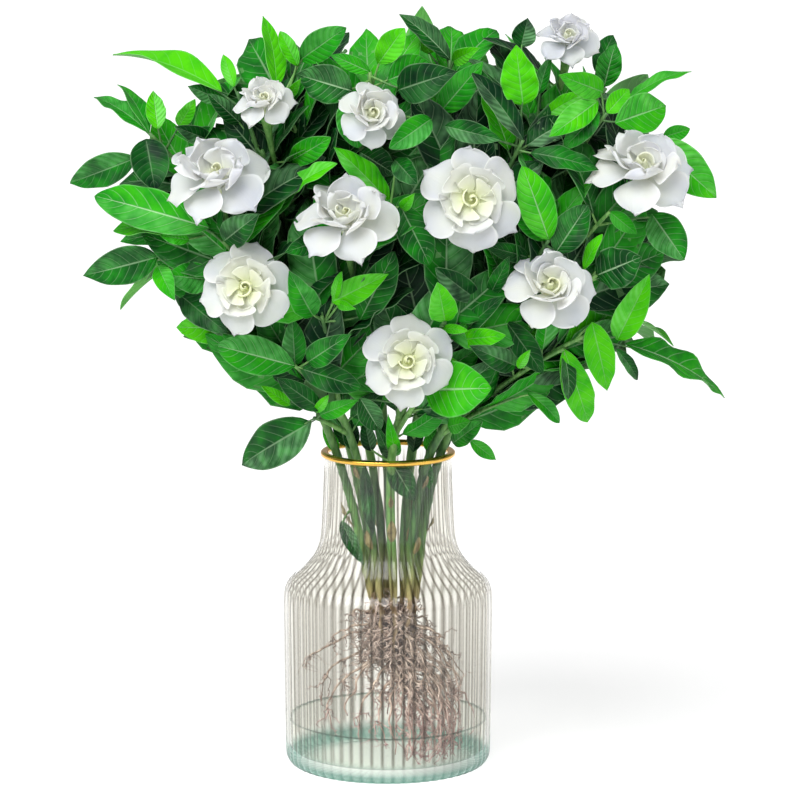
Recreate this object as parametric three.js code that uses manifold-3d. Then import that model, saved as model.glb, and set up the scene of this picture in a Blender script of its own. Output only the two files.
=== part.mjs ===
// A gardenia grown in water: a fluted glass vase with a gold rim, a little water, bare roots,
// eleven leafy stems and thirteen double blooms. Millimetres, +Z up, the front faces -Y.
import * as THREE from 'three';
import { mergeVertices } from 'three/addons/utils/BufferGeometryUtils.js';
import Module from 'manifold-3d';

const wasm = await Module();
wasm.setup();

// Vase: radius and height of the outer profile's corners, from the standing ring up to the lip.
const VASE_PROFILE = [[64, 0], [74.2, 7], [75.5, 127], [73, 134], [58, 147], [48.5, 163], [46, 226]];
const LIP_HEIGHT = 226;
const GLASS_WALL = 3;
const GLASS_FLOOR = 9;
const FLUTES = 60;
const FLUTE_DEPTH = 0.9;
const INSIDE_SEGMENTS = 24;

// Gold rim: section of the ring that lies on the lip.
const RIM_SECTION = [[43.4, 226], [46.9, 226], [48.5, 228], [47, 230.2], [44.2, 230.2], [42.9, 228]];
const RIM_SEGMENTS = 28;

// Water: its surface, and the plain hole that the root tips stand in.
const WATER_LEVEL = 33;
const ROOT_HOLE = { x: 4, radius: 60, floor: 12 };
const SEAT_GAP = 0.3;

// Roots: the crown that the canes stand on, and the core that the strands leave.
const CROWN_HEIGHT = 124;
const CROWN_SHIFT = 5;
const ROOT_CORE = [[0, 52], [5, 56], [12, 78], [15, 100], [22, 114], [23, 124], [0, 124]];
const ROOT_RADIUS = 1.3;
const LOWEST_ROOT = 14;

// Blooms: length of the tube behind the petals as a share of the radius, and the petals' sections.
const TUBE_SHARE = 0.5;
const PETAL_THICKNESS = 1.3;
const PETAL_CUP = 0.05;

// Canes, branches and leaves.
const CANE_RADIUS = 3.3;
const BRANCH_RADIUS = 2.2;
const TWIG_RADIUS = 1.5;
const BRANCH_SIDES = 3;
const CUP_RADIUS = 4.6;
const STALK_WIDTH = 1.3;
const NECK_SPREAD = 0.5;
const FORK_SHARES = [0.42, 0.38, 0.34, 0.3, 0.26];
const CANE_STEPS = 6;
const CANE_SIDES = 5;
const FIRST_FORK = 0.74;
const LAST_FORK = 0.97;
const LEAF_THICKNESS = 1.4;
const LEAF_FOLD = 0.09;
const LEAF_ARCH = 0.1;
const SLIMMEST_LEAF = 0.36;
const LEAF_STATIONS = [[0, 0.1], [0.33, 0.86], [0.72, 0.88]];
const SMALL_LEAF_STATIONS = [[0, 0.1], [0.52, 1]];
const SMALL_LEAF_WIDTH = 15;
const SHORTEST_STALK = 5;
const CLEARANCE = 0.5;
const SIMPLER = [0.25, 0.2, 0.15, 0.1, 0.05, 0.01];

// The photograph's viewpoint: it ties a pixel of the 800 x 800 frame to a line through the part.
const VIEW = { distance: 2800, height: 720, x: 8.7, pitch: (9.2 * Math.PI) / 180, focal: 3953, middle: 400 };

// The bush seen from the front is an oval dome: its middle and half sizes in pixels, its depth in mm.
const DOME = { x: 398, y: 235, halfWidth: 350, halfHeight: 240, depth: 112 };

// Canes: where each passes the lip, in mm from the vase axis.
const CANES = {
  a: [-33, -6],
  b: [-25, 15],
  c: [-20, -21],
  d: [-1, -31],
  e: [-1, 1],
  f: [12, -7],
  g: [20, -22],
  h: [25, 13],
  i: [30, -4],
  j: [-11, 31],
  k: [13, 32],
};

// Sprays on the side that the photograph shows. Each has its cane, the pixel where its twig ends, how far
// under the dome it sits in mm, and its leaves, each as [base x, base y, tip x, tip y, width] in pixels.
const SPRAYS = [
  { cane: 'b', at: [149, 133], under: 12, leaves: [[149, 133, 94, 96, 18], 
    [158, 129, 153, 91, 20], [136, 158, 70, 183, 32], [146, 139, 155, 190, 38]] },
  { cane: 'a', at: [224, 241], under: 10, leaves: [[209, 228, 93, 195, 42], [209, 228, 112, 229, 24],
    [224, 241, 257, 215, 30]] },
  { cane: 'a', at: [205, 266], under: 26, leaves: [[158, 257, 83, 276, 38], [211, 280, 166, 275, 32],
    [158, 266, 172, 297, 20], [180, 295, 227, 333, 28]] },
  { cane: 'c', at: [295, 366], under: 10, leaves: [[295, 366, 216, 345, 38], [295, 366, 292, 318, 24],
    [308, 362, 349, 335, 26], [295, 366, 361, 388, 28], [322, 410, 277, 378, 22]] },
  { cane: 'c', at: [314, 418], under: 8, leaves: [[314, 418, 238, 466, 45], [320, 415, 358, 400, 18]] },
  { cane: 'c', at: [322, 316], under: 14, leaves: [[332, 302, 388, 274, 26], [360, 320, 395, 252, 34],
    [313, 316, 290, 274, 28]] },
  { cane: 'b', at: [262, 150], under: 38, leaves: [[280, 202, 336, 163, 12], [289, 162, 330, 138, 24],
    [241, 124, 209, 94, 18], [212, 141, 176, 127, 18]] },
  { cane: 'b', at: [237, 92], under: 8, leaves: [[222, 92, 113, 50, 22], [234, 87, 223, 54, 14]] },
  { cane: 'e', at: [276, 88], under: 24, leaves: [[276, 88, 263, 16, 18], [298, 66, 280, 31, 16],
    [300, 60, 345, 28, 30]] },
  { cane: 'e', at: [370, 72], under: 8, leaves: [[378, 64, 404, 28, 26], [388, 80, 431, 63, 34],
    [370, 72, 330, 54, 16], [352, 91, 296, 74, 38], [398, 90, 456, 71, 38], [350, 97, 358, 148, 34],
    [431, 119, 390, 148, 26]] },
  { cane: 'f', at: [450, 60], under: 30, leaves: [[450, 60, 400, 13, 20], [429, 54, 428, 33, 20],
    [453, 61, 479, 48, 16], [440, 112, 483, 62, 30]] },
  { cane: 'f', at: [523, 140], under: 12, leaves: [[523, 105, 516, 45, 37], [523, 140, 472, 73, 24],
    [531, 153, 599, 169, 22], [445, 126, 501, 140, 22], [521, 47, 528, 18, 24]] },
  { cane: 'h', at: [544, 117], under: 34, leaves: [[539, 94, 551, 54, 14]] },
  { cane: 'h', at: [607, 113], under: 8, leaves: [[598, 101, 549, 137, 26], [607, 113, 629, 89, 20],
    [599, 112, 562, 150, 22], [615, 123, 667, 105, 40], [603, 92, 559, 75, 26]] },
  { cane: 'h', at: [606, 88], under: 36, leaves: [[604, 87, 615, 43, 26], [595, 71, 614, 34, 22],
    [629, 99, 691, 68, 12]] },
  { cane: 'i', at: [655, 142], under: 14, leaves: [[655, 142, 717, 198, 42]] },
  { cane: 'i', at: [610, 212], under: 8, leaves: [[652, 214, 684, 260, 36]] },
  { cane: 'i', at: [549, 240], under: 12, leaves: [[549, 240, 523, 166, 36], [549, 240, 512, 204, 24],
    [549, 240, 592, 178, 20], [556, 252, 588, 205, 34], [528, 257, 486, 246, 18]] },
  { cane: 'i', at: [597, 275], under: 10, leaves: [[597, 275, 641, 257, 42]] },
  { cane: 'g', at: [588, 335], under: 8, leaves: [[592, 322, 609, 394, 30], [617, 340, 650, 275, 30],
    [625, 344, 727, 396, 24]] },
  { cane: 'g', at: [564, 349], under: 12, leaves: [[564, 349, 590, 426, 30]] },
  { cane: 'f', at: [500, 322], under: 26, leaves: [[506, 321, 544, 374, 26], [462, 336, 502, 297, 18],
    [458, 340, 506, 335, 20], [480, 302, 437, 270, 24], [516, 366, 472, 347, 24]] },
  { cane: 'd', at: [445, 321], under: 12, leaves: [[445, 321, 438, 284, 28]] },
  { cane: 'd', at: [425, 392], under: 6, leaves: [[425, 390, 490, 388, 56], [360, 398, 380, 431, 24]] },
  { cane: 'g', at: [480, 412], under: 20, leaves: [[453, 443, 483, 421, 20], [448, 427, 470, 421, 18],
    [527, 392, 561, 423, 14], [470, 440, 497, 461, 14]] },
  { cane: 'd', at: [398, 440], under: 30, leaves: [[396, 456, 388, 419, 14]] },
  { cane: 'e', at: [390, 204], under: 14, leaves: [[390, 204, 334, 147, 26], [360, 152, 396, 175, 30],
    [395, 160, 417, 184, 22], [400, 205, 430, 265, 34], [322, 240, 286, 252, 22]] },
];

// Blooms: [cane, middle x, middle y in pixels, radius in mm, lean up from facing the viewer, turn to the
// right, spin of the petals round the bloom's own axis, in degrees].
const SEEN_BLOOMS = [
  ['b', 264, 103, 22, 48, -6, 20],
  ['e', 371, 115, 24, 24, 14, 0],
  ['a', 217, 180, 38, 50, -8, 10],
  ['e', 346, 222, 39, 50, -4, 38],
  ['f', 471, 200, 37, 10, 4, 0],
  ['h', 568, 41, 27, 50, 4, 52],
  ['i', 641, 172, 38, 50, 8, 18],
  ['g', 550, 289, 32, 34, 8, 30],
  ['a', 246, 288, 33.5, 12, -6, 12],
  ['d', 408, 361, 33.5, 12, 2, 4],
];

// The unseen half: [cane, bearing seen from above, height, reach from the axis], in degrees and mm.
// Bearing 0 is to the right and 90 is to the back.
const BACK_SPRAYS = [
  ['k', 14, 330, 150],
  ['k', 30, 425, 160],
  ['k', 50, 300, 115],
  ['k', 62, 385, 140],
  ['k', 77, 462, 82],
  ['j', 92, 330, 125],
  ['j', 106, 415, 130],
  ['j', 124, 300, 115],
  ['j', 128, 462, 95],
  ['j', 150, 370, 150],
  ['h', 12, 395, 72],
  ['b', 166, 405, 70],
  ['e', 88, 452, 34],
];
const BACK_LEAVES = 4;
const BACK_LEAF_LENGTH = 72;
const BACK_LEAF_WIDTH = 30;
const BACK_BLOOMS = [
  ['k', 40, 365, 150, 36],
  ['k', 84, 432, 120, 34],
  ['j', 138, 335, 142, 37],
];

// Inner leaves stand along the branches and stay inside the bush: its middle height and half sizes.
const INNER_LENGTH = 78;
const INNER_WIDTH = 34;
const INNER_SHARE = 0.6;
const INSIDE = { height: 385, halfWidth: 215, halfDepth: 120, halfHeight: 145 };

// Root strands: [start height, end x, end y in pixels, end depth in mm, sideways sag in mm].
const ROOT_STRANDS = [
  [112, 338, 640, -14, -8], [106, 308, 667, -10, -10], [98, 322, 700, 12, -8], [92, 330, 728, -20, -12],
  [88, 347, 716, -22, -6], [80, 362, 738, -30, -8], [74, 384, 742, -36, -10], [70, 395, 752, -48, -6],
  [78, 408, 760, -50, 6], [72, 420, 758, -40, 10], [84, 434, 754, -46, 12], [90, 444, 746, -30, 14],
  [94, 452, 734, -22, 12], [100, 456, 716, -4, 10], [104, 459, 700, -12, 8], [108, 450, 672, 8, 10],
  [112, 436, 645, -16, 8], [116, 424, 632, 10, 6], [114, 352, 612, 12, -6], [96, 400, 700, 26, 8],
  [100, 372, 690, 30, -8], [106, 420, 690, -28, 8], [90, 388, 716, 34, 4], [84, 412, 730, 36, 8],
];

// Turns a pixel of the photograph and a depth behind the vase axis into a point of the part.
function fromPhoto(pixelX, pixelY, depth) {
  const reach = VIEW.distance + depth;
  const z = VIEW.height - reach * Math.tan(VIEW.pitch + Math.atan((pixelY - VIEW.middle) / VIEW.focal));
  const along = reach * Math.cos(VIEW.pitch) + (VIEW.height - z) * Math.sin(VIEW.pitch);
  return new THREE.Vector3(VIEW.x + ((pixelX - VIEW.middle) / VIEW.focal) * along, depth, z);
}

// Depth of the bush's front surface behind the vase axis, at a pixel.
function domeDepth(pixelX, pixelY) {
  const acrossShare = (pixelX - DOME.x) / DOME.halfWidth;
  const heightShare = (pixelY - DOME.y) / DOME.halfHeight;
  return -DOME.depth * Math.sqrt(Math.max(0, 1 - acrossShare ** 2 - heightShare ** 2));
}

// Makes a closed geometry from points and triangles.
function closedGeometry(points, triangles) {
  const geometry = new THREE.BufferGeometry();
  geometry.setFromPoints(points);
  geometry.setIndex(triangles.flat());
  return geometry;
}

// Turns a closed geometry into a solid that can be joined and cut.
function toSolid(geometry) {
  const bare = geometry.clone();
  bare.deleteAttribute('normal');
  bare.deleteAttribute('uv');
  const merged = mergeVertices(bare, 1e-4);
  const corners = merged.index.array;
  const kept = [];
  for (let i = 0; i < corners.length; i += 3) {
    const [a, b, c] = [corners[i], corners[i + 1], corners[i + 2]];
    if (a !== b && b !== c && c !== a) kept.push(a, b, c);
  }
  const vertProperties = new Float32Array(merged.attributes.position.array);
  return new wasm.Manifold(new wasm.Mesh({ numProp: 3, vertProperties, triVerts: new Uint32Array(kept) }));
}

// Turns a solid back into a geometry with flat faces.
function toGeometry(solid) {
  const mesh = solid.getMesh();
  const geometry = new THREE.BufferGeometry();
  geometry.setAttribute('position', new THREE.BufferAttribute(new Float32Array(mesh.vertProperties), 3));
  geometry.setIndex([...mesh.triVerts]);
  return geometry;
}

// Whether each edge still belongs to just two faces once corners that nearly touch are merged.
function joinsCleanly(geometry) {
  const corners = mergeVertices(geometry, 1e-3).index.array;
  const uses = new Map();
  for (let i = 0; i < corners.length; i += 3) {
    const triangle = [corners[i], corners[i + 1], corners[i + 2]];
    if (new Set(triangle).size < 3) continue;
    triangle.forEach((corner, n) => {
      const next = triangle[(n + 1) % 3];
      const edge = `${Math.min(corner, next)} ${Math.max(corner, next)}`;
      uses.set(edge, (uses.get(edge) ?? 0) + 1);
    });
  }
  return [...uses.values()].every((count) => count === 2);
}

// Keeps the outer body of a union, without loose scraps and sealed hollows.
function largestBody(solid) {
  const bodies = solid.decompose();
  return bodies.reduce((best, body) => (body.volume() > best.volume() ? body : best));
}

// A solid turned round the vase axis from a profile of [radius, height] points.
function turned(profile, segments) {
  const points = profile.map(([radius, height]) => new THREE.Vector2(radius, height));
  return new THREE.LatheGeometry(points, segments).rotateX(Math.PI / 2);
}

// A tube of tapering radius along a curve, closed by flat ends.
function tube(curve, steps, sides, radiusAt) {
  const frames = curve.computeFrenetFrames(steps, false);
  const points = [];
  const triangles = [];
  for (let i = 0; i <= steps; i++) {
    const middle = curve.getPoint(i / steps);
    for (let j = 0; j < sides; j++) {
      const angle = (2 * Math.PI * j) / sides;
      points.push(middle.clone()
        .addScaledVector(frames.normals[i], radiusAt(i / steps) * Math.cos(angle))
        .addScaledVector(frames.binormals[i], radiusAt(i / steps) * Math.sin(angle)));
    }
  }
  for (let i = 0; i < steps; i++) {
    for (let j = 0; j < sides; j++) {
      const a = i * sides + j;
      const b = i * sides + ((j + 1) % sides);
      triangles.push([a, b, b + sides], [a, b + sides, a + sides]);
    }
  }
  const last = steps * sides;
  for (let j = 1; j < sides - 1; j++) triangles.push([0, j + 1, j], [last, last + j, last + j + 1]);
  return toSolid(closedGeometry(points, triangles));
}

// A thin blade of sections [right, bottom, left, top], closed at its base and drawn to a point at its tip.
// Both faces are split along like diagonals, so they never cross.
function blade(sections, tip) {
  const triangles = [[1, 0, 3], [1, 3, 2]];
  for (let a = 0; a < 4 * (sections.length - 1); a += 4) {
    const b = a + 4;
    triangles.push([a, a + 1, b + 1], [a, b + 1, b], [a + 1, a + 2, b + 1], [a + 2, b + 2, b + 1]);
    triangles.push([a + 2, a + 3, b + 3], [a + 2, b + 3, b + 2], [a + 3, a, b + 3], [a, b, b + 3]);
  }
  const last = 4 * (sections.length - 1);
  for (let j = 0; j < 4; j++) triangles.push([last + j, last + ((j + 1) % 4), last + 4]);
  return toSolid(closedGeometry([...sections.flat(), tip], triangles));
}

// One section across a blade: its edges are lifted by the fold and its middle has the full thickness.
function section(middle, along, up, width, thickness, fold) {
  const face = up.clone().addScaledVector(along, -up.dot(along)).normalize();
  const side = along.clone().cross(face);
  return [
    middle.clone().addScaledVector(side, width / 2).addScaledVector(face, fold),
    middle.clone().addScaledVector(face, -thickness / 2),
    middle.clone().addScaledVector(side, -width / 2).addScaledVector(face, fold),
    middle.clone().addScaledVector(face, thickness / 2),
  ];
}

// A leaf from its twig to its tip: a short stalk, then a blade folded along its midrib and arched.
function leafSolid({ root, base, tip, width, up }, extra, withStalk) {
  const length = base.distanceTo(tip);
  const stalked = root.distanceTo(base) > SHORTEST_STALK;
  const bend = base.clone().lerp(tip, 0.5).addScaledVector(up, LEAF_ARCH * length);
  const rib = new THREE.QuadraticBezierCurve3(stalked ? base : root, bend, tip);
  const stations = width < SMALL_LEAF_WIDTH ? SMALL_LEAF_STATIONS : LEAF_STATIONS;
  const sections = stations.slice(stalked ? 0 : 1).map(([share, widthShare]) => {
    const fold = LEAF_FOLD * width * widthShare;
    const thickness = LEAF_THICKNESS * (1 - 0.4 * share) + extra;
    const across = width * widthShare + extra;
    return section(rib.getPoint(share), rib.getTangent(share), up, across, thickness, fold);
  });
  if (withStalk || !stalked) {
    const along = (stalked ? base : tip).clone().sub(root).normalize();
    sections.unshift(section(root, along, up, STALK_WIDTH + extra, STALK_WIDTH + extra, 0));
  }
  return blade(sections, tip);
}

// Keeps account of what already stands in the bush, so that the next piece is put where it is clear.
class Bush {
  constructor() {
    this.standing = [];
  }

  add(owner, kind, solid, core = solid) {
    this.standing.push({ owner, kind, solid, core, box: solid.boundingBox() });
  }

  isClear(owner, full, core) {
    const box = full.boundingBox();
    return this.standing.every((other) => {
      if (other.owner === owner && other.kind !== 'leaf') return true;
      if ([0, 1, 2].some((n) => other.box.min[n] > box.max[n] || other.box.max[n] < box.min[n])) return true;
      const meeting = other.owner === owner ? core.intersect(other.core) : full.intersect(other.solid);
      return meeting.isEmpty();
    });
  }
}

// The vase: a fluted outside, less a plain inside that leaves the wall and the thick floor.
function glassVase() {
  const outside = turned([[0, 0], ...VASE_PROFILE, [0, LIP_HEIGHT]], 2 * FLUTES);
  const position = outside.attributes.position;
  for (let i = 0; i < position.count; i++) {
    const [x, y, z] = [position.getX(i), position.getY(i), position.getZ(i)];
    const column = Math.round((Math.atan2(y, x) / Math.PI) * FLUTES);
    const radius = Math.hypot(x, y);
    if (z > 1 && radius > 1 && column % 2 !== 0) {
      const share = (radius - FLUTE_DEPTH) / radius;
      position.setXY(i, x * share, y * share);
    }
  }
  const walls = VASE_PROFILE.slice(1).map(([radius, height]) => [radius - GLASS_WALL, height]);
  const rise = GLASS_FLOOR - walls[0][1];
  walls[0] = [walls[0][0] - 2, walls[0][1] + rise];
  walls[walls.length - 1][1] += 10;
  const inside = turned([[0, GLASS_FLOOR], ...walls, [0, LIP_HEIGHT + 10]], INSIDE_SEGMENTS);
  return toSolid(outside).subtract(toSolid(inside));
}

// The rim: a closed ring with its flat underside on the lip.
function goldRim() {
  return toSolid(turned([...RIM_SECTION, RIM_SECTION[0]], RIM_SEGMENTS));
}

// The water: fills the bottom of the vase, with a plain hole for the root tips.
function waterBody() {
  const radius = VASE_PROFILE[1][0] - GLASS_WALL - 2 - 2 * SEAT_GAP;
  const bottom = GLASS_FLOOR + SEAT_GAP;
  const profile = [[0, bottom], [radius, bottom], [radius, WATER_LEVEL], [0, WATER_LEVEL]];
  const circle = new THREE.Shape();
  circle.absarc(ROOT_HOLE.x, 0, ROOT_HOLE.radius, 0, 2 * Math.PI);
  const settings = { depth: WATER_LEVEL, bevelEnabled: false, curveSegments: 16 };
  const hole = new THREE.ExtrudeGeometry(circle, settings).translate(0, 0, ROOT_HOLE.floor);
  return toSolid(turned(profile, INSIDE_SEGMENTS)).subtract(toSolid(hole));
}

// The roots: a tapering core under the flat crown, with strands that hang and fan from it.
function rootMass() {
  const core = turned(ROOT_CORE, 8).translate(CROWN_SHIFT, 0, 0);
  const strands = ROOT_STRANDS.map(([startHeight, endX, endY, depth, sag]) => {
    const end = fromPhoto(endX, endY, depth);
    end.z = Math.max(end.z, LOWEST_ROOT);
    const start = new THREE.Vector3(CROWN_SHIFT, 0, startHeight);
    const out = end.clone().setZ(startHeight).sub(start).setLength(20).add(start);
    const low = end.clone().add(new THREE.Vector3(sag, sag / 2, 0.45 * (startHeight - end.z)));
    const path = new THREE.CubicBezierCurve3(start, out, low, end);
    return tube(path, 4, 3, (share) => ROOT_RADIUS * (1.15 - 0.4 * share));
  });
  return wasm.Manifold.union([toSolid(core), ...strands]);
}

// One petal in the bloom's own frame: it leaves the middle at a bearing and bends out to its tip.
function petal(bearing, points, width, roll, stations) {
  const outward = new THREE.Vector3(Math.sin(bearing), Math.cos(bearing), 0);
  const place = ([reach, height]) => outward.clone().multiplyScalar(reach).setZ(height);
  const [foot, knee, end] = points.map(place);
  const rib = new THREE.QuadraticBezierCurve3(foot, knee, end);
  const sections = stations.map(([share, widthShare]) => {
    const along = rib.getTangent(share);
    const up = new THREE.Vector3(0, 0, 1).addScaledVector(outward, -0.5);
    up.applyAxisAngle(along, roll);
    const across = width * widthShare;
    return section(rib.getPoint(share), along, up, across, PETAL_THICKNESS, PETAL_CUP * across);
  });
  return blade(sections, end);
}

// A double bloom facing +Z with its middle at the origin: tube and folded centre, then two whorls.
function bloomSolid(radius, seed) {
  const profile = [[0, -TUBE_SHARE], [0.08, -TUBE_SHARE], [0.22, -0.04], [0.22, 0.26], [0, 0.4]];
  const core = turned(profile.map(([reach, height]) => [reach * radius, height * radius]), 6).rotateZ(0.35);
  const parts = [toSolid(core)];
  for (let k = 0; k < 6; k++) {
    const uneven = Math.sin(seed * 7 + k * 2.4);
    const bearing = THREE.MathUtils.degToRad(60 * k + 4 * uneven);
    const reach = radius * (0.97 + 0.03 * uneven);
    const drop = radius * (-0.12 + 0.03 * uneven);
    const points = [[0.19 * radius, 0], [0.55 * radius, 0.22 * radius], [reach, drop]];
    parts.push(petal(bearing, points, 0.84 * radius, 0.24, [[0, 0.2], [0.42, 0.9], [0.84, 0.86]]));
  }
  for (let k = 0; k < 5; k++) {
    const uneven = Math.sin(seed * 5 + k * 3.1);
    const bearing = THREE.MathUtils.degToRad(72 * k + 30 + 5 * uneven);
    const reach = radius * (0.56 + 0.03 * uneven);
    const height = radius * (0.46 + 0.03 * uneven);
    const points = [[0.18 * radius, 0.17 * radius], [0.42 * radius, 0.24 * radius], [reach, height]];
    parts.push(petal(bearing, points, 0.56 * radius, 0.26, [[0, 0.25], [0.45, 0.85], [0.84, 0.84]]));
  }
  return wasm.Manifold.union(parts);
}

// A bloom's place: the matrix from its own frame, with its axis leaned up and turned, and petals spun.
function bloomMatrix({ middle, facing, spin }) {
  const side = new THREE.Vector3(0, 0, 1).cross(facing).normalize();
  const upward = facing.clone().cross(side);
  const matrix = new THREE.Matrix4().makeBasis(side, upward, facing);
  const turn = new THREE.Matrix4().makeRotationZ(-THREE.MathUtils.degToRad(spin));
  return matrix.multiply(turn).setPosition(middle);
}

// Where a bloom's tube stands on the cup of its stalk.
function bloomFoot({ middle, facing, radius }) {
  return middle.clone().addScaledVector(facing, -TUBE_SHARE * radius - SEAT_GAP);
}

// Lists every bloom with its cane, middle, facing and radius.
function listBlooms() {
  const seen = SEEN_BLOOMS.map(([cane, x, y, radius, lean, turn, spin]) => {
    const facing = new THREE.Vector3(0, -1, 0)
      .applyAxisAngle(new THREE.Vector3(1, 0, 0), -THREE.MathUtils.degToRad(lean))
      .applyAxisAngle(new THREE.Vector3(0, 0, 1), THREE.MathUtils.degToRad(turn));
    return { cane, middle: fromPhoto(x, y, domeDepth(x, y) - 4), facing, radius, spin };
  });
  const back = BACK_BLOOMS.map(([cane, bearing, height, reach, radius], n) => {
    const angle = THREE.MathUtils.degToRad(bearing);
    const outward = new THREE.Vector3(Math.cos(angle), Math.sin(angle), 0);
    const facing = outward.clone().setZ(0.55).normalize();
    return { cane, middle: outward.clone().multiplyScalar(reach).setZ(height), facing, radius, spin: 17 * n };
  });
  return [...seen, ...back];
}

// Lists every spray with its twig's end and the trial places of each leaf, best first.
function listSprays() {
  const shifts = [[0, 0], [0, 9], [0, -9], [7, 16], [-7, -16], [14, 14], [-14, -14], [0, 26], [0, -26],
    [22, 22], [-22, -22], [12, 36], [32, 32], [-12, -36], [44, 44], [58, 58]];
  const seen = SPRAYS.map(({ cane, at, under, leaves }) => ({
    cane,
    end: fromPhoto(at[0], at[1], domeDepth(...at) + under),
    leaves: leaves.map((leaf, n) => shifts.map((shift) => seenLeaf(leaf, under, shift, n))),
  }));
  const back = BACK_SPRAYS.map(([cane, bearing, height, reach], n) => {
    const angle = THREE.MathUtils.degToRad(bearing);
    const end = new THREE.Vector3(Math.cos(angle) * reach, Math.sin(angle) * reach, height);
    const leaves = [];
    for (let k = 0; k < BACK_LEAVES; k++) {
      leaves.push([0, 1, 2, 3, 4, 5, 6, 7, 8, 9, 10, 11].map((trial) => backLeaf(end, angle, k, n, trial)));
    }
    return { cane, end, leaves };
  });
  return [...seen, ...back];
}

// A leaf read from the photograph, its ends moved along their lines of sight by the shifts in mm.
function seenLeaf([baseX, baseY, tipX, tipY, pixelWidth], under, [baseShift, tipShift], n) {
  const base = fromPhoto(baseX, baseY, domeDepth(baseX, baseY) + under + baseShift);
  const tipDepth = domeDepth(tipX, tipY) + tipShift;
  const seenLength = base.distanceTo(fromPhoto(tipX, tipY, base.y));
  const seenWidth = pixelWidth * (VIEW.distance / VIEW.focal);
  const width = Math.max(seenWidth, SLIMMEST_LEAF * seenLength);
  const hidden = Math.sqrt(Math.max(0, (width / 0.5) ** 2 - seenLength ** 2));
  const tip = fromPhoto(tipX, tipY, tipDepth - Math.min(hidden, 22) * (n % 2 === 0 ? 1 : -0.4));
  const along = tip.clone().sub(base).normalize();
  const viewer = new THREE.Vector3(VIEW.x, -VIEW.distance, VIEW.height).sub(base).normalize();
  const face = viewer.addScaledVector(along, -viewer.dot(along)).normalize();
  const roll = Math.acos(seenWidth / width);
  const turns = [roll, -roll].map((angle) => face.clone().applyAxisAngle(along, angle));
  const up = turns[0].z > turns[1].z ? turns[0] : turns[1];
  return { base, tip, width, up };
}

// A leaf on the unseen half: leaves stand round the twig by the golden angle, and trials turn it on.
function backLeaf(end, bearing, k, n, trial) {
  const turn = 2.4 * (k + 1.7 * n) + 0.9 * trial;
  const outward = new THREE.Vector3(Math.cos(bearing), Math.sin(bearing), 0.35).normalize();
  const side = new THREE.Vector3(-Math.sin(bearing), Math.cos(bearing), 0);
  const rise = outward.clone().cross(side).multiplyScalar(-1);
  const spread = 0.9 + 0.25 * Math.sin(3 * k + trial);
  const along = outward.clone().multiplyScalar(Math.cos(spread))
    .addScaledVector(side, Math.sin(spread) * Math.cos(turn))
    .addScaledVector(rise, Math.sin(spread) * Math.sin(turn));
  const length = BACK_LEAF_LENGTH * (1 + 0.14 * Math.sin(5 * k + n));
  const base = end.clone().addScaledVector(along, 9);
  const up = new THREE.Vector3(0, 0, 1).addScaledVector(outward, 0.7);
  up.addScaledVector(along, -up.dot(along)).normalize();
  return { base, tip: base.clone().addScaledVector(along, length), width: BACK_LEAF_WIDTH, up };
}

// An inner leaf on a branch: the trials turn it round the branch, and only tips inside the bush count.
function innerTrials(curve, share, n) {
  const root = curve.getPoint(share);
  const along = curve.getTangent(share);
  const side = new THREE.Vector3(0, 0, 1).cross(along).normalize();
  const above = along.clone().cross(side);
  const trials = [];
  for (let trial = 0; trial < 16; trial++) {
    const turn = 2.4 * n + 0.8 * trial;
    const lean = 0.75 + 0.2 * Math.sin(n + trial);
    const direction = along.clone().multiplyScalar(Math.cos(lean))
      .addScaledVector(side, Math.sin(lean) * Math.cos(turn))
      .addScaledVector(above, Math.sin(lean) * Math.sin(turn));
    const tip = root.clone().addScaledVector(direction, INNER_LENGTH * (1 - 0.02 * trial));
    const up = new THREE.Vector3(0, -0.5, 1);
    up.addScaledVector(direction, -up.dot(direction)).normalize();
    const depthShare = (tip.y / INSIDE.halfDepth) ** 2 + (tip.x / INSIDE.halfWidth) ** 2;
    if (depthShare + ((tip.z - INSIDE.height) / INSIDE.halfHeight) ** 2 < 1) {
      trials.push({ root, base: root, tip, width: INNER_WIDTH, up });
    }
  }
  return trials;
}

// The cane's curve from the crown, through the neck, to the fork towards its sprays.
function caneCurve([lipX, lipY], goals, forkShare) {
  const goal = new THREE.Vector3();
  goals.forEach((point) => goal.addScaledVector(point, 1 / goals.length));
  const foot = new THREE.Vector3(CROWN_SHIFT + NECK_SPREAD * lipX, NECK_SPREAD * lipY, CROWN_HEIGHT - 3);
  const lip = new THREE.Vector3(lipX, lipY, LIP_HEIGHT + 12);
  const rise = foot.clone().lerp(lip, 0.5).setZ(LIP_HEIGHT - 46);
  const fork = lip.clone().lerp(goal, forkShare);
  return new THREE.CubicBezierCurve3(foot, rise, lip, fork);
}

// Trial curves of a branch: the straightest first, then bowed ever more to each side.
function branchTrials(start, end, arrival) {
  const reach = start.distanceTo(end);
  const chord = end.clone().sub(start).normalize();
  const side = new THREE.Vector3(0, 0, 1).cross(chord).normalize();
  const above = chord.clone().cross(side);
  const trials = [];
  for (let k = 0; k < 19; k++) {
    const bow = k === 0 ? 0 : reach * (0.1 + 0.1 * Math.floor((k - 1) / 6));
    const angle = (k * Math.PI) / 3;
    const offset = side.clone().multiplyScalar(bow * Math.cos(angle));
    offset.addScaledVector(above, bow * Math.sin(angle));
    const first = start.clone().lerp(end, 0.3).add(offset);
    const second = arrival
      ? end.clone().addScaledVector(arrival, -0.3 * reach)
      : start.clone().lerp(end, 0.7).add(new THREE.Vector3(0, 0, 0.06 * reach));
    trials.push(new THREE.CubicBezierCurve3(start, first, second.add(offset), end));
  }
  return trials;
}

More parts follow.
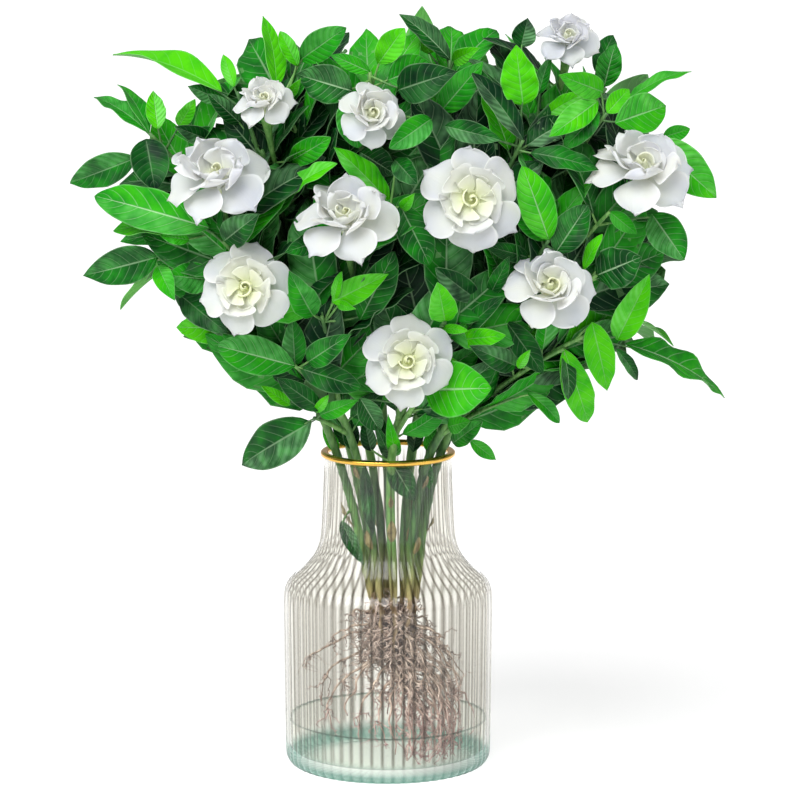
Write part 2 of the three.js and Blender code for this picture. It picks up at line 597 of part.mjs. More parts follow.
// Point of a twig, in its outer half, that is nearest to a leaf's base.
function nearestOnTwig(curve, base, n) {
  const points = [0.5, 0.6, 0.7, 0.8, 0.9].map((share) => curve.getPoint(share + 0.02 * (n % 5)));
  return points.reduce((best, point) => (point.distanceTo(base) < best.distanceTo(base) ? point : best));
}

// The canes, each kept clear of the glass, the blooms and the canes before it.
function placeCanes(bush, blooms, sprays) {
  return Object.entries(CANES).map(([name, lip]) => {
    const stem = {
      name,
      blooms: blooms.filter((bloom) => bloom.cane === name),
      sprays: sprays.filter((spray) => spray.cane === name),
      branches: [],
    };
    const goals = [...stem.blooms.map((bloom) => bloom.middle), ...stem.sprays.map((spray) => spray.end)];
    const radiusAt = (share) => CANE_RADIUS * (1 - 0.12 * share);
    stem.curve = FORK_SHARES.map((share) => caneCurve(lip, goals, share)).find((curve) => {
      const tester = tube(curve, CANE_STEPS, CANE_SIDES, (share) => radiusAt(share) + CLEARANCE);
      return bush.isClear(name, tester, tester);
    });
    const cane = tube(stem.curve, CANE_STEPS, CANE_SIDES, radiusAt);
    stem.parts = [cane.trimByPlane([0, 0, 1], CROWN_HEIGHT + SEAT_GAP)];
    bush.add(name, 'wood', stem.parts[0]);
    return stem;
  });
}

// The branches of one stem, the lowest goal first: one to each bloom, widening to its cup, and to each spray.
function growBranches(bush, stem) {
  const goals = [
    ...stem.blooms.map((bloom) => ({ end: bloomFoot(bloom), arrival: bloom.facing })),
    ...stem.sprays.map((spray) => ({ end: spray.end, spray })),
  ].sort((one, other) => one.end.z - other.end.z);
  goals.forEach(({ end, arrival, spray }, n) => {
    const fork = FIRST_FORK + ((LAST_FORK - FIRST_FORK) * (n + 1)) / goals.length;
    const tipRadius = (share) => (arrival && share === 1 ? CUP_RADIUS : TWIG_RADIUS);
    const radiusAt = (share) => BRANCH_RADIUS + (tipRadius(share) - BRANCH_RADIUS) * share;
    const steps = arrival ? 4 : 3;
    const curve = branchTrials(stem.curve.getPoint(fork), end, arrival).find((trial) => {
      const slack = (share) => radiusAt(share) + (share < 1 ? CLEARANCE : 0);
      const tester = tube(trial, steps, BRANCH_SIDES, slack);
      return bush.isClear(stem.name, tester, tester);
    });
    const branch = tube(curve, steps, BRANCH_SIDES, radiusAt);
    stem.parts.push(branch);
    stem.branches.push(curve);
    bush.add(stem.name, 'wood', branch);
    if (spray) spray.curve = curve;
  });
}

// Puts the first clear one of a leaf's trials on its stem. A leaf with no clear trial is left off.
function growLeaf(bush, stem, trials) {
  const leaf = trials.find((trial) => (
    bush.isClear(stem.name, leafSolid(trial, CLEARANCE, true), leafSolid(trial, CLEARANCE, false))));
  if (!leaf) return;
  const solid = leafSolid(leaf, 0, true);
  stem.parts.push(solid);
  bush.add(stem.name, 'leaf', solid, leafSolid(leaf, 0, false));
}

// The leaves of one stem's sprays.
function growLeaves(bush, stem) {
  stem.sprays.forEach((spray) => {
    spray.leaves.forEach((trials, n) => {
      const rooted = trials.map((leaf) => ({ ...leaf, root: nearestOnTwig(spray.curve, leaf.base, n) }));
      growLeaf(bush, stem, rooted);
    });
  });
}

// The inner leaves of one stem: one on each of two branches in three.
function growInnerLeaves(bush, stem, s) {
  stem.branches.forEach((curve, b) => {
    if ((s + b) % 3 !== 0) growLeaf(bush, stem, innerTrials(curve, INNER_SHARE, s + 3 * b));
  });
}

// Makes the named mesh of one sub-part.
function part(name, solid, material) {
  const geometry = SIMPLER.map((share) => toGeometry(largestBody(solid.asOriginal().simplify(share))))
    .find(joinsCleanly);
  const mesh = new THREE.Mesh(geometry, new THREE.MeshStandardMaterial(material));
  mesh.name = name;
  return mesh;
}

const bush = new Bush();
const vase = glassVase();
const rim = goldRim();
bush.add('vase', 'glass', vase);
bush.add('rim', 'metal', rim);

const blooms = listBlooms();
blooms.forEach((bloom, n) => {
  const shaped = toGeometry(bloomSolid(bloom.radius, n)).applyMatrix4(bloomMatrix(bloom));
  bloom.solid = toSolid(shaped);
  bush.add(`bloom ${n}`, 'bloom', bloom.solid);
});

const stems = placeCanes(bush, blooms, listSprays());
stems.forEach((stem) => growBranches(bush, stem));
stems.forEach((stem) => growLeaves(bush, stem));
stems.forEach((stem, s) => growInnerLeaves(bush, stem, s));

const group = new THREE.Group();
group.add(part('glass_vase', vase, { color: 0xdfeee8, roughness: 0.05, transparent: true, opacity: 0.35 }));
group.add(part('gold_rim', rim, { color: 0xd9a441, roughness: 0.22, metalness: 1 }));
group.add(part('water', waterBody(), { color: 0xcfe9e1, roughness: 0.02, transparent: true, opacity: 0.4 }));
group.add(part('root_mass', rootMass(), { color: 0x8d6f5e, roughness: 0.8 }));
stems.forEach((stem) => {
  const solid = wasm.Manifold.union(stem.parts);
  group.add(part(`leafy_stem_${stem.name}`, solid, { color: 0x2f7a2c, roughness: 0.35 }));
});
blooms.forEach((bloom, n) => {
  const name = `bloom_${String(n + 1).padStart(2, '0')}`;
  group.add(part(name, bloom.solid, { color: 0xf7f7f4, roughness: 0.5 }));
});

export default group;
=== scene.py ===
"""A gardenia grown in water: a fluted glass vase with a gold rim, a little water, bare roots, eleven leafy
canes and thirteen double blooms. Shapes are worked out in millimetres and laid down in metres."""
import math

import bpy
import numpy as np
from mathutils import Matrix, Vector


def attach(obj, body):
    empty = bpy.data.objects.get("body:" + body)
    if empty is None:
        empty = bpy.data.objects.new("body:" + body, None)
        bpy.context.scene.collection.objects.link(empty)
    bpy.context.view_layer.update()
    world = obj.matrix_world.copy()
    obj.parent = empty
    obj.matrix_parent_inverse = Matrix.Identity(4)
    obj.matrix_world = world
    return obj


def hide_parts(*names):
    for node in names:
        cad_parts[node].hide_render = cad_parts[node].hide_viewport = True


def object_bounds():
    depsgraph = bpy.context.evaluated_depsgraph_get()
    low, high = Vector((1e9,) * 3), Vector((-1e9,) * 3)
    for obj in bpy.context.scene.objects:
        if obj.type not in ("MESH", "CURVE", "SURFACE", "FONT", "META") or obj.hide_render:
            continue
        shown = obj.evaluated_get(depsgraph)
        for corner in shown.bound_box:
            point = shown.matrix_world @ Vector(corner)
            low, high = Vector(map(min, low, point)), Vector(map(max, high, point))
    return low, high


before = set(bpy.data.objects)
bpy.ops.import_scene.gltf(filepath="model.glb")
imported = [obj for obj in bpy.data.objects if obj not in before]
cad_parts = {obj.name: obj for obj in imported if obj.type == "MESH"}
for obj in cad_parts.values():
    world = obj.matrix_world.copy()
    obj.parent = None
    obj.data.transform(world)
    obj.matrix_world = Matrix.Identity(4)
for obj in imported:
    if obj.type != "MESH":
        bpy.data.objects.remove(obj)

cad_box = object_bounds()

# The vase is one vessel of clear pressed glass. Sixty rounded flutes run from the heel over the shoulder
# and up the neck. Its floor is thick and looks green through its depth, and the inside is smooth.
FLUTES = 60
FLUTE_DEPTH = 0.9
GLASS_COLUMNS = FLUTES * 6
HEEL_REACH, WALL_FOOT, FLUTE_TOP, UNDERSIDE = 60, 100, 224, 3
OUTSIDE = [(0, 3.0), (38, 2.6), (54, 1.0), (60, 0), (65, 0), (71, 1.6), (74.2, 7), (74.3, 14), (75.4, 112),
           (75.5, 122), (74.7, 130), (71, 136.2), (64.5, 141), (57.6, 147.4), (51.6, 156), (48.6, 166),
           (47.5, 182), (46.5, 206), (46, 220), (46, 224.6), (45.2, 225.8)]
INSIDE = [(43.8, 225.8), (43.1, 224.6), (43.1, 206), (44.4, 182), (45.6, 166), (48.8, 157.6),
          (54.6, 149.6), (61.6, 143.4), (68.2, 138.4), (71.6, 130.6), (72.4, 121), (72.3, 112), (71.3, 17),
          (69.6, 11.6), (63, 9.4), (30, 9), (0, 9)]


def softened(corners, rounds):
    """A profile with soft corners: each round puts two points in the place of every corner, a quarter of
    the way along the stretches that meet there."""
    line = np.array(corners, float)
    for _ in range(rounds):
        near = 0.75 * line[:-1] + 0.25 * line[1:]
        far = 0.25 * line[:-1] + 0.75 * line[1:]
        line = np.concatenate([line[:1], np.stack([near, far], 1).reshape(-1, 2), line[-1:]])
    return line


def grid_faces(rows, columns):
    """Four-sided faces between neighbouring rows and columns of a grid whose last column meets its
    first."""
    row = np.arange(rows - 1)[:, None] * columns
    here = np.arange(columns)[None, :]
    there = (here + 1) % columns
    return np.stack([row + here, row + there, row + there + columns, row + here + columns], -1).reshape(-1, 4)


def turned(profile, columns, depth):
    """A profile of radius and height that starts and ends on the axis, turned round it. The radius loses
    depth times one less the cosine's size at half the flute angle, so the ribs are round and their joints
    sharp."""
    rings, ring_depth = profile[1:-1], depth[1:-1, None]
    angle = np.linspace(0, 2 * np.pi, columns, endpoint=False)[None, :]
    radius = rings[:, :1] - ring_depth * (1 - np.abs(np.cos(FLUTES * angle / 2)))
    height = np.broadcast_to(rings[:, 1:], radius.shape)
    points = np.stack([radius * np.cos(angle), radius * np.sin(angle), height], -1).reshape(-1, 3)
    poles = [[0, 0, profile[0, 1]], [0, 0, profile[-1, 1]]]
    here = np.arange(columns)
    there = (here + 1) % columns
    pole, last = np.full(columns, len(points)), len(points) - columns
    first_fan = np.stack([pole, there, here], 1)
    last_fan = np.stack([last + here, last + there, pole + 1], 1)
    fans = np.concatenate([first_fan, last_fan])
    return np.concatenate([points, poles]), [grid_faces(len(rings), columns), fans]


def lay_piece(name, points, faces, finish, stands_for, growth=None, shades=None):
    """Lays points in millimetres and faces of three or four corners down as one smooth piece in metres,
    which rides on the root. growth is a flat map's two shares at each point, and shades are named values
    there."""
    corners = np.concatenate([face.reshape(-1) for face in faces]).astype(np.int32)
    sides = np.concatenate([np.full(len(face), face.shape[1]) for face in faces]).astype(np.int32)
    mesh = bpy.data.meshes.new(name)
    mesh.vertices.add(len(points))
    mesh.vertices.foreach_set("co", (points * 0.001).astype(np.float32).ravel())
    mesh.loops.add(len(corners))
    mesh.loops.foreach_set("vertex_index", corners)
    mesh.polygons.add(len(sides))
    mesh.polygons.foreach_set("loop_start", (np.cumsum(sides) - sides).astype(np.int32))
    mesh.polygons.foreach_set("use_smooth", np.ones(len(sides), bool))
    mesh.update(calc_edges=True)
    if growth is not None:
        mesh.uv_layers.new(name="growth").data.foreach_set("uv", growth[corners].astype(np.float32).ravel())
    for shade, values in (shades or {}).items():
        mesh.attributes.new(shade, "FLOAT", "POINT").data.foreach_set("value", values.astype(np.float32))
    mesh.validate()
    mesh.materials.append(finish)
    piece = bpy.data.objects.new(name, mesh)
    bpy.context.scene.collection.objects.link(piece)
    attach(piece, "root")
    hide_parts(*stands_for)
    return piece


def start_finish(name, **settings):
    """A material with one shader, whose plain settings go on its own sockets."""
    finish = bpy.data.materials.new(name)
    finish.use_nodes = True
    shader = finish.node_tree.nodes["Principled BSDF"]
    for socket, value in settings.items():
        shader.inputs[socket.replace("_", " ")].default_value = value
    return finish, finish.node_tree, shader


def put(tree, kind, sockets=(), **settings):
    """One node of a material. Each of its sockets gets a value or the output that feeds it."""
    node = tree.nodes.new("ShaderNode" + kind)
    for setting, value in settings.items():
        setattr(node, setting, value)
    for socket, value in dict(sockets).items():
        if isinstance(value, bpy.types.NodeSocket):
            tree.links.new(value, node.inputs[socket])
        else:
            node.inputs[socket].default_value = value
    return node


def blended(tree, share, one, other):
    """The colour between two colours, at a share of the way."""
    return put(tree, "Mix", {0: share, 6: one, 7: other}, data_type="RGBA").outputs[2]


def ranged(tree, value, low, high, to_low=0.0, to_high=1.0):
    """A value's range from low to high, stretched to another range and held at its ends."""
    sockets = {"Value": value, "From Min": low, "From Max": high, "To Min": to_low, "To Max": to_high}
    return put(tree, "MapRange", sockets).outputs["Result"]


def sums(tree, operation, one, other=0.0):
    """One sum on two values."""
    return put(tree, "Math", {0: one, 1: other}, operation=operation).outputs[0]


def times(tree, one, other):
    """The product of two values."""
    return sums(tree, "MULTIPLY", one, other)


def mottle(tree, scale, detail=3.0, stretch=(1, 1, 1)):
    """A cloudy pattern on the piece's own place, scale patches to a metre."""
    place = put(tree, "TexCoord").outputs["Object"]
    mapped = put(tree, "Mapping", {"Vector": place, "Scale": stretch}).outputs[0]
    return put(tree, "TexNoise", {"Vector": mapped, "Scale": scale, "Detail": detail}).outputs["Fac"]


def value_of(tree, name):
    """A named value of the piece's points."""
    return put(tree, "Attribute", attribute_name=name).outputs["Fac"]


def own_place(tree):
    """The three parts of a point's own place, in metres."""
    return put(tree, "SeparateXYZ", {0: put(tree, "TexCoord").outputs["Object"]}).outputs


def dress(tree, shader, colour, roughness, height, strength, distance):
    """Feeds the shader its colour, its roughness, and a relief that height raises by a distance in
    metres."""
    bump = put(tree, "Bump", {"Height": height, "Strength": strength, "Distance": distance}).outputs[0]
    for socket, value in (("Base Color", colour), ("Roughness", roughness), ("Normal", bump)):
        tree.links.new(value, shader.inputs[socket])


def finish_vase():
    """Clear glass with a warm grey cast, with painted shade in dark lines where two flutes meet, and green in
    the thick floor, with faint horizontal bands. The outside is polished and faintly drawn along the flutes."""
    finish, tree, shader = start_finish("clear_glass", Transmission_Weight=1.0, IOR=1.01, Coat_Roughness=0.06,
                                        Coat_IOR=1.5)
    polished = value_of(tree, "polished")
    tree.links.new(ranged(tree, polished, 0.0, 1.0, 0.04, 1.0), shader.inputs["Coat Weight"])
    place = own_place(tree)
    height = place["Z"]
    bearing = sums(tree, "ARCTAN2", place["Y"], place["X"])
    joint = sums(tree, "PINGPONG", times(tree, bearing, FLUTES / (2 * math.pi)), 0.5)
    drawn = mottle(tree, 900, 2.0, (1, 1, 0.03))
    # Painted shade: the base colour darkens in a narrow line where two flutes meet, fading out near the lip
    # and the heel.
    joint_shade = times(tree, ranged(tree, joint, 0.26, 0.5), ranged(tree, height, 0.226, 0.215))
    joint_shade = times(tree, joint_shade, ranged(tree, height, 0.010, 0.016))
    wall = blended(tree, joint_shade, (0.95, 0.942, 0.90, 1), (0.27, 0.25, 0.21, 1))
    layers = ranged(tree, mottle(tree, 330, 1.0, (0.03, 0.03, 1)), 0.42, 0.58, 0.0, 0.5)
    # In the heel, faint horizontal bands and painted shade at the flute joints darken the green.
    bands_and_joint_shade = sums(tree, "MAXIMUM", layers, ranged(tree, joint, 0.15, 0.45, 0.0, 0.9))
    floor_green = blended(tree, bands_and_joint_shade, (0.19, 0.37, 0.30, 1), (0.04, 0.16, 0.12, 1))
    level = put(tree, "CombineXYZ", {0: place["X"], 1: place["Y"]}).outputs[0]
    reach = put(tree, "VectorMath", {0: level}, operation="LENGTH").outputs["Value"]
    depth = times(tree, ranged(tree, height, 0.006, 0.015, 1.0, 0.0), ranged(tree, reach, 0.044, 0.068, 0.36))
    dress(tree, shader, blended(tree, depth, wall, floor_green), ranged(tree, drawn, 0.3, 0.7, 0.0, 0.04),
          drawn, 0.12, 0.0004)
    return finish


outside, inside = softened(OUTSIDE, 2), softened(INSIDE, 1)
vase_profile = np.concatenate([outside, inside])
on_wall = np.clip((outside[:, 0] - HEEL_REACH) / 12, 0, 1) + (outside[:, 1] > WALL_FOOT)
flute_depth = FLUTE_DEPTH * np.clip(on_wall, 0, 1) * np.clip((FLUTE_TOP - outside[:, 1]) / 8, 0, 1)
flute_depth = np.concatenate([flute_depth, np.zeros(len(inside))])
points, faces = turned(vase_profile, GLASS_COLUMNS, flute_depth)
polished = np.repeat(np.arange(1, len(vase_profile) - 1) < len(outside), GLASS_COLUMNS)
polished = np.append(polished, [True, False]) * np.where(points[:, 2] < UNDERSIDE, 0.1, 1.0)
vase = lay_piece("fluted_vase", points, faces, finish_vase(), ["glass_vase"],
                 shades={"polished": polished})
vase.visible_shadow = False

# The rim is a band of polished gold plating over a rounded ring on the lip, a little worn in patches.
RIM_MIDDLE = (45.7, 228.1)
RIM_HALF = (2.8, 2.1)
RIM_COLUMNS, RIM_ROWS = 144, 24


def finish_rim():
    """Yellow gold, polished but not even."""
    finish, tree, shader = start_finish("gold_plating", Metallic=1.0)
    worn = mottle(tree, 160, 4.0)
    dress(tree, shader, blended(tree, worn, (0.78, 0.43, 0.055, 1), (0.91, 0.58, 0.13, 1)),
          ranged(tree, worn, 0.3, 0.7, 0.14, 0.30), mottle(tree, 1400), 0.08, 0.0003)
    return finish


around, over = np.meshgrid(np.linspace(0, 2 * np.pi, RIM_COLUMNS, endpoint=False),
                           np.linspace(0, 2 * np.pi, RIM_ROWS, endpoint=False))
rim_radius = RIM_MIDDLE[0] + RIM_HALF[0] * np.cos(over)
rim_height = RIM_MIDDLE[1] + RIM_HALF[1] * np.sign(np.sin(over)) * np.abs(np.sin(over)) ** 0.8
points = np.stack([rim_radius * np.cos(around), rim_radius * np.sin(around), rim_height], -1).reshape(-1, 3)
faces = [grid_faces(RIM_ROWS + 1, RIM_COLUMNS) % (RIM_ROWS * RIM_COLUMNS)]
lay_piece("gilt_rim", points, faces, finish_rim(), ["gold_rim"])

# The water is a shallow fill with a still surface, drawn up a little where it meets the glass.
WATER = [(0, 9.3), (62, 9.6), (69.2, 12), (71.2, 17.4), (71.5, 30), (71.55, 34.6), (71.4, 34.8), (70.4, 33.6),
         (68, 33.05), (40, 33), (0, 33)]
WATER_COLUMNS = 120


def finish_water():
    """Clear water with the faintest green, slow uneven ripples, and a dark line of painted shade where it
    climbs the glass."""
    finish, tree, shader = start_finish("still_water", Transmission_Weight=1.0, IOR=1.0, Coat_Roughness=0.02,
                                        Coat_IOR=1.33)
    cloud = mottle(tree, 30, 2.0)
    clear = blended(tree, cloud, (0.955, 0.985, 0.965, 1), (0.98, 1.0, 0.985, 1))
    height = own_place(tree)["Z"]
    tree.links.new(ranged(tree, height, 0.0310, 0.0325, 0.0, 0.3), shader.inputs["Coat Weight"])
    # Painted shade: a dark band in the base colour at the top of the meniscus, where it climbs the glass.
    meniscus_shade = ranged(tree, height, 0.0331, 0.0337, 0.0, 0.8)
    dress(tree, shader, blended(tree, meniscus_shade, clear, (0.30, 0.38, 0.33, 1)),
          ranged(tree, cloud, 0.3, 0.7, 0.0, 0.03), mottle(tree, 90), 0.15, 0.0006)
    return finish


water_profile = softened(WATER, 1)
points, faces = turned(water_profile, WATER_COLUMNS, np.zeros(len(water_profile)))
water = lay_piece("shallow_water", points, faces, finish_water(), ["water"])
water.visible_shadow = False

# The roots hang bare: each cane's foot goes on below the neck as a brown stock, and the strands that leave
# the stocks branch into laterals and hairs. They were made in water, so they are thin, pale and tangled.
VIEW_DISTANCE, VIEW_HEIGHT, VIEW_X = 2800, 720, 8.7
VIEW_PITCH, VIEW_FOCAL, VIEW_MIDDLE = math.radians(9.2), 3953, 400
CROWN_SHIFT = 5
LOWEST_ROOT = 14
ROOT_REACH, ROOT_FLOOR = 67, 11
STOCK_TOP, STOCK_END = 126.0, 84
STOCK_STEPS, STRAND_STEPS, COMPANION_STEPS = 14, 40, 34
CANES = {"a": (-33, -6), "b": (-25, 15), "c": (-20, -21), "d": (-1, -31), "e": (-1, 1), "f": (12, -7),
         "g": (20, -22), "h": (25, 13), "i": (30, -4), "j": (-11, 31), "k": (13, 32)}
# A strand is its start's height, the pixel and the depth of the end that the photograph shows, how far it
# sags to the side, and how many thinner roots keep it company.
ROOT_STRANDS = [
    [112, 338, 640, -14, -8, 0], [106, 308, 667, -10, -10, 0], [98, 322, 700, 12, -8, 0],
    [92, 330, 728, -20, -12, 0], [88, 347, 716, -22, -6, 0], [80, 362, 738, -30, -8, 0],
    [74, 384, 742, -36, -10, 0], [70, 395, 752, -48, -6, 0], [78, 408, 760, -50, 6, 5],
    [72, 420, 758, -40, 10, 8], [84, 434, 754, -46, 12, 8], [90, 444, 746, -30, 14, 8],
    [94, 452, 734, -22, 12, 6], [100, 456, 716, -4, 10, 2], [104, 459, 700, -12, 8, 1],
    [108, 450, 672, 8, 10, 1], [112, 436, 645, -16, 8, 0], [116, 424, 632, 10, 6, 0],
    [114, 352, 612, 12, -6, 0], [96, 400, 700, 26, 8, 0], [100, 372, 690, 30, -8, 0],
    [106, 420, 690, -28, 8, 3], [90, 388, 716, 34, 4, 0], [84, 412, 730, 36, 8, 6],
]
CLUMP_PIXEL, CLUMP_HALF = (383, 644), (28, 24, 30)
seeded, winding = np.random.default_rng(11), np.random.default_rng(3)


def from_photo(x, y, depth):
    """The point of the part that the photograph shows at a pixel, at a depth behind the vase's axis: where
    the line of sight through that pixel meets the upright plane at that depth."""
    reach = VIEW_DISTANCE + depth
    z = VIEW_HEIGHT - reach * math.tan(VIEW_PITCH + math.atan((y - VIEW_MIDDLE) / VIEW_FOCAL))
    along = reach * math.cos(VIEW_PITCH) + (VIEW_HEIGHT - z) * math.sin(VIEW_PITCH)
    return np.array([VIEW_X + (x - VIEW_MIDDLE) / VIEW_FOCAL * along, depth, z])


def unit(vectors):
    """Each vector at length one."""
    return vectors / np.linalg.norm(vectors, axis=-1, keepdims=True)


def square_pair(along):
    """Two directions square to another one: a level one, and the one above it."""
    side = unit(np.cross([0, 0, 1], along))
    return side, np.cross(along, side)


def bent(controls, shares):
    """Points at shares of the way along curves with three or four control points, the Bezier sum. controls
    is curves by control points by three."""
    s = np.asarray(shares, float)[None, :, None]
    c = [controls[:, n, None, :] for n in range(controls.shape[1])]
    if len(c) == 3:
        return (1 - s) ** 2 * c[0] + 2 * s * (1 - s) * c[1] + s ** 2 * c[2]
    return (1 - s) ** 3 * c[0] + 3 * s * (1 - s) ** 2 * c[1] + 3 * s ** 2 * (1 - s) * c[2] + s ** 3 * c[3]


def tubes(paths, radii, sides):
    """Round skins along many paths at once: paths is paths by steps by three. Each ring stands square to
    its path, turned from the axis that the path follows least."""
    count, steps, _ = paths.shape
    ahead = unit(np.gradient(paths, axis=1))
    least = np.argmin(np.abs(ahead).mean(1), axis=1)
    normal = unit(np.cross(np.eye(3)[least][:, None, :], ahead))
    across = np.cross(ahead, normal)
    angle = np.linspace(0, 2 * np.pi, sides, endpoint=False)[:, None]
    spoke = np.cos(angle) * normal[:, :, None, :] + np.sin(angle) * across[:, :, None, :]
    reach = np.broadcast_to(radii, (count, steps))[:, :, None, None]
    points = (paths[:, :, None, :] + reach * spoke).reshape(-1, 3)
    first = (np.arange(count) * steps * sides)[:, None, None]
    walls = (grid_faces(steps, sides)[None] + first).reshape(-1, 4)
    j = np.arange(1, sides - 1)
    start, last = np.stack([0 * j, j + 1, j], 1), (steps - 1) * sides
    end = np.stack([last + 0 * j, last + j, last + j + 1], 1)
    caps = (np.concatenate([start, end])[None] + first).reshape(-1, 3)
    return points, [walls, caps]


def valued(part, value):
    """Points and faces with one value at every point."""
    return (*part, np.full(len(part[0]), float(value)))


def gather(parts):
    """Joins parts of points and faces, and any values for each point, into one piece's lists."""
    faces, start = [[], []], 0
    for points, (quads, triangles), *_ in parts:
        faces[0].append(quads + start)
        faces[1].append(triangles + start)
        start += len(points)
    values = [np.concatenate([part[n] for part in parts]) for n in range(2, len(parts[0]))]
    return np.concatenate([part[0] for part in parts]), [np.concatenate(side) for side in faces], *values


def finish_roots():
    """Damp taupe bark with a fine grain and pale patches, redder low in the vase."""
    finish, tree, shader = start_finish("bare_root", Specular_IOR_Level=0.4)
    thin = value_of(tree, "thin")
    patch = mottle(tree, 220, 4.0)
    grain = ranged(tree, patch, 0.35, 0.65)
    stock = blended(tree, grain, (0.20, 0.13, 0.07, 1), (0.40, 0.32, 0.21, 1))
    strand = blended(tree, grain, (0.25, 0.18, 0.15, 1), (0.54, 0.45, 0.40, 1))
    red = blended(tree, grain, (0.27, 0.14, 0.14, 1), (0.55, 0.38, 0.37, 1))
    strand = blended(tree, ranged(tree, own_place(tree)["Z"], 0.020, 0.066, 1.0, 0.0), strand, red)
    dress(tree, shader, blended(tree, thin, stock, strand), ranged(tree, patch, 0.3, 0.7, 0.45, 0.8),
          mottle(tree, 1500, 2.0), 0.5, 0.0004)
    return finish


def kept_in_vase(points):
    """Points drawn in towards the axis, and up from the table, where the glass would be."""
    reach = np.linalg.norm(points[..., :2], axis=-1, keepdims=True)
    inward = np.minimum(1, ROOT_REACH / np.maximum(reach, 1))
    return np.concatenate([points[..., :2] * inward, np.maximum(points[..., 2:], ROOT_FLOOR)], -1)


def wandering(paths, amount, lots=seeded):
    """Paths with three waves of random turn added, the slow one largest, and none at their first end."""
    count, steps, _ = paths.shape
    s = np.linspace(0, 1, steps)[None, :, None]
    turn = lots.uniform(0, 6.3, (3, count, 1, 3))
    waves = np.sin(8 * s + turn[0]) + 0.7 * np.sin(19 * s + turn[1]) + 0.35 * np.sin(37 * s + turn[2])
    return paths + amount * np.minimum(1, 5 * s) * (1 - 0.5 * s) * waves


def side_roots(parents, count, length, low, steps, amount, hang=0.9):
    """Roots that leave their parents at random points, lean outwards and down, bend over and wander. The
    more hang, the more they point down."""
    parent = seeded.integers(0, len(parents), count)
    at = seeded.integers(int(low * parents.shape[1]), parents.shape[1] - 1, count)
    begin = parents[parent, at]
    lean = unit(seeded.normal(0, 1, (count, 3)) * [1, 1, 0.5] + [0, 0, -hang])
    long = seeded.uniform(0.35, 1.0, (count, 1)) * length
    turn = seeded.normal(0, 0.5, (count, 3)) * long
    curves = np.stack([begin, begin + 0.4 * long * lean, begin + 0.7 * long * lean + turn,
                       begin + 0.9 * long * lean + 0.5 * turn], 1)
    return kept_in_vase(wandering(bent(curves, np.linspace(0, 1, steps)), amount))


def clump_roots(parents, count, steps):
    """Roots wound into a loose clump: each leaves a parent at random and bends through three points drawn
    inside an oval body, most of them near its skin."""
    parent, at = winding.integers(0, len(parents), count), winding.integers(0, parents.shape[1] - 1, count)
    towards = unit(winding.normal(0, 1, (count, 3, 3))) * winding.uniform(0.6, 1.1, (count, 3, 1))
    bends = from_photo(*CLUMP_PIXEL, 0) + towards * CLUMP_HALF
    curves = np.concatenate([parents[parent, at][:, None], bends], 1)
    return wandering(bent(curves, np.linspace(0, 1, steps)), 1.6, winding)


lips = np.array(list(CANES.values()), float)
feet = np.stack([CROWN_SHIFT + 0.5 * lips[:, 0], 0.5 * lips[:, 1], np.full(len(lips), STOCK_TOP)], 1)
end_heights = STOCK_END + 5 * np.sin(7 * lips[:, 0])
ends = np.stack([CROWN_SHIFT + 0.42 * lips[:, 0], 0.4 * lips[:, 1], end_heights], 1)
share = np.linspace(0, 1, STOCK_STEPS)
stocks = wandering(bent(np.stack([feet, feet - [0, 0, 14], ends + [0, 0, 16], ends], 1), share), 1.0)
root_parts = [valued(tubes(stocks, 2.45 - 1.4 * share + 0.25 * np.sin(24 * share), 9), 0)]

curves = []
for start_height, end_x, end_y, depth, sag, _ in ROOT_STRANDS:
    tip = from_photo(end_x, end_y, depth)
    tip[2] = max(tip[2], LOWEST_ROOT)
    start = np.array([CROWN_SHIFT, 0, start_height])
    out = start + 15 * unit(np.array([tip[0], tip[1], start_height]) - start) - [0, 0, 9]
    curves.append([start, out, tip + [sag, sag / 2, 0.45 * (start_height - tip[2])], tip])
share = np.linspace(0, 1, STRAND_STEPS)
strands = wandering(bent(np.array(curves), share), 2.1)
root_parts.append(valued(tubes(kept_in_vase(strands), 1.35 - 0.95 * share, 6), 0.7))
companions = np.repeat(np.array(curves), [strand[-1] for strand in ROOT_STRANDS], axis=0)
companions[:, 1:] += seeded.normal(0, 1, (len(companions), 3, 3)) * [[5, 5, 5], [8, 8, 8], [7, 7, 5]]
share = np.linspace(0, 1, COMPANION_STEPS)
companions = kept_in_vase(wandering(bent(companions, share), 3.4))
root_parts.append(valued(tubes(companions, 0.95 - 0.65 * share, 5), 0.85))
curls = side_roots(stocks, 110, 21, 0.1, 20, 2.2, 1.2)
laterals = side_roots(strands, 150, 15, 0.15, 14, 1.6)
fine_ones = side_roots(companions, 230, 24, 0.15, 12, 1.8)
hairs = side_roots(laterals, 430, 11, 0.1, 6, 0.4)
clump = clump_roots(stocks, 200, 26)
for paths, thick, sides in ((clump, 0.85, 5), (curls, 0.8, 5), (laterals, 0.55, 4), (fine_ones, 0.45, 4),
                            (hairs, 0.26, 3)):
    tapered = thick * (1 - 0.7 * np.linspace(0, 1, paths.shape[1]))
    root_parts.append(valued(tubes(paths, tapered, sides), 1))
points, faces, thin = gather(root_parts)
lay_piece("bare_roots", points, faces, finish_roots(), ["root_mass"], shades={"thin": thin})

# Every bloom stands at the end of a branch of one cane. Those that the photograph shows are placed by their
# pixel on the bush's domed front, and three more face the unseen back.
DOME_X, DOME_Y, DOME_WIDE, DOME_HIGH, DOME_DEEP = 398, 235, 350, 240, 112
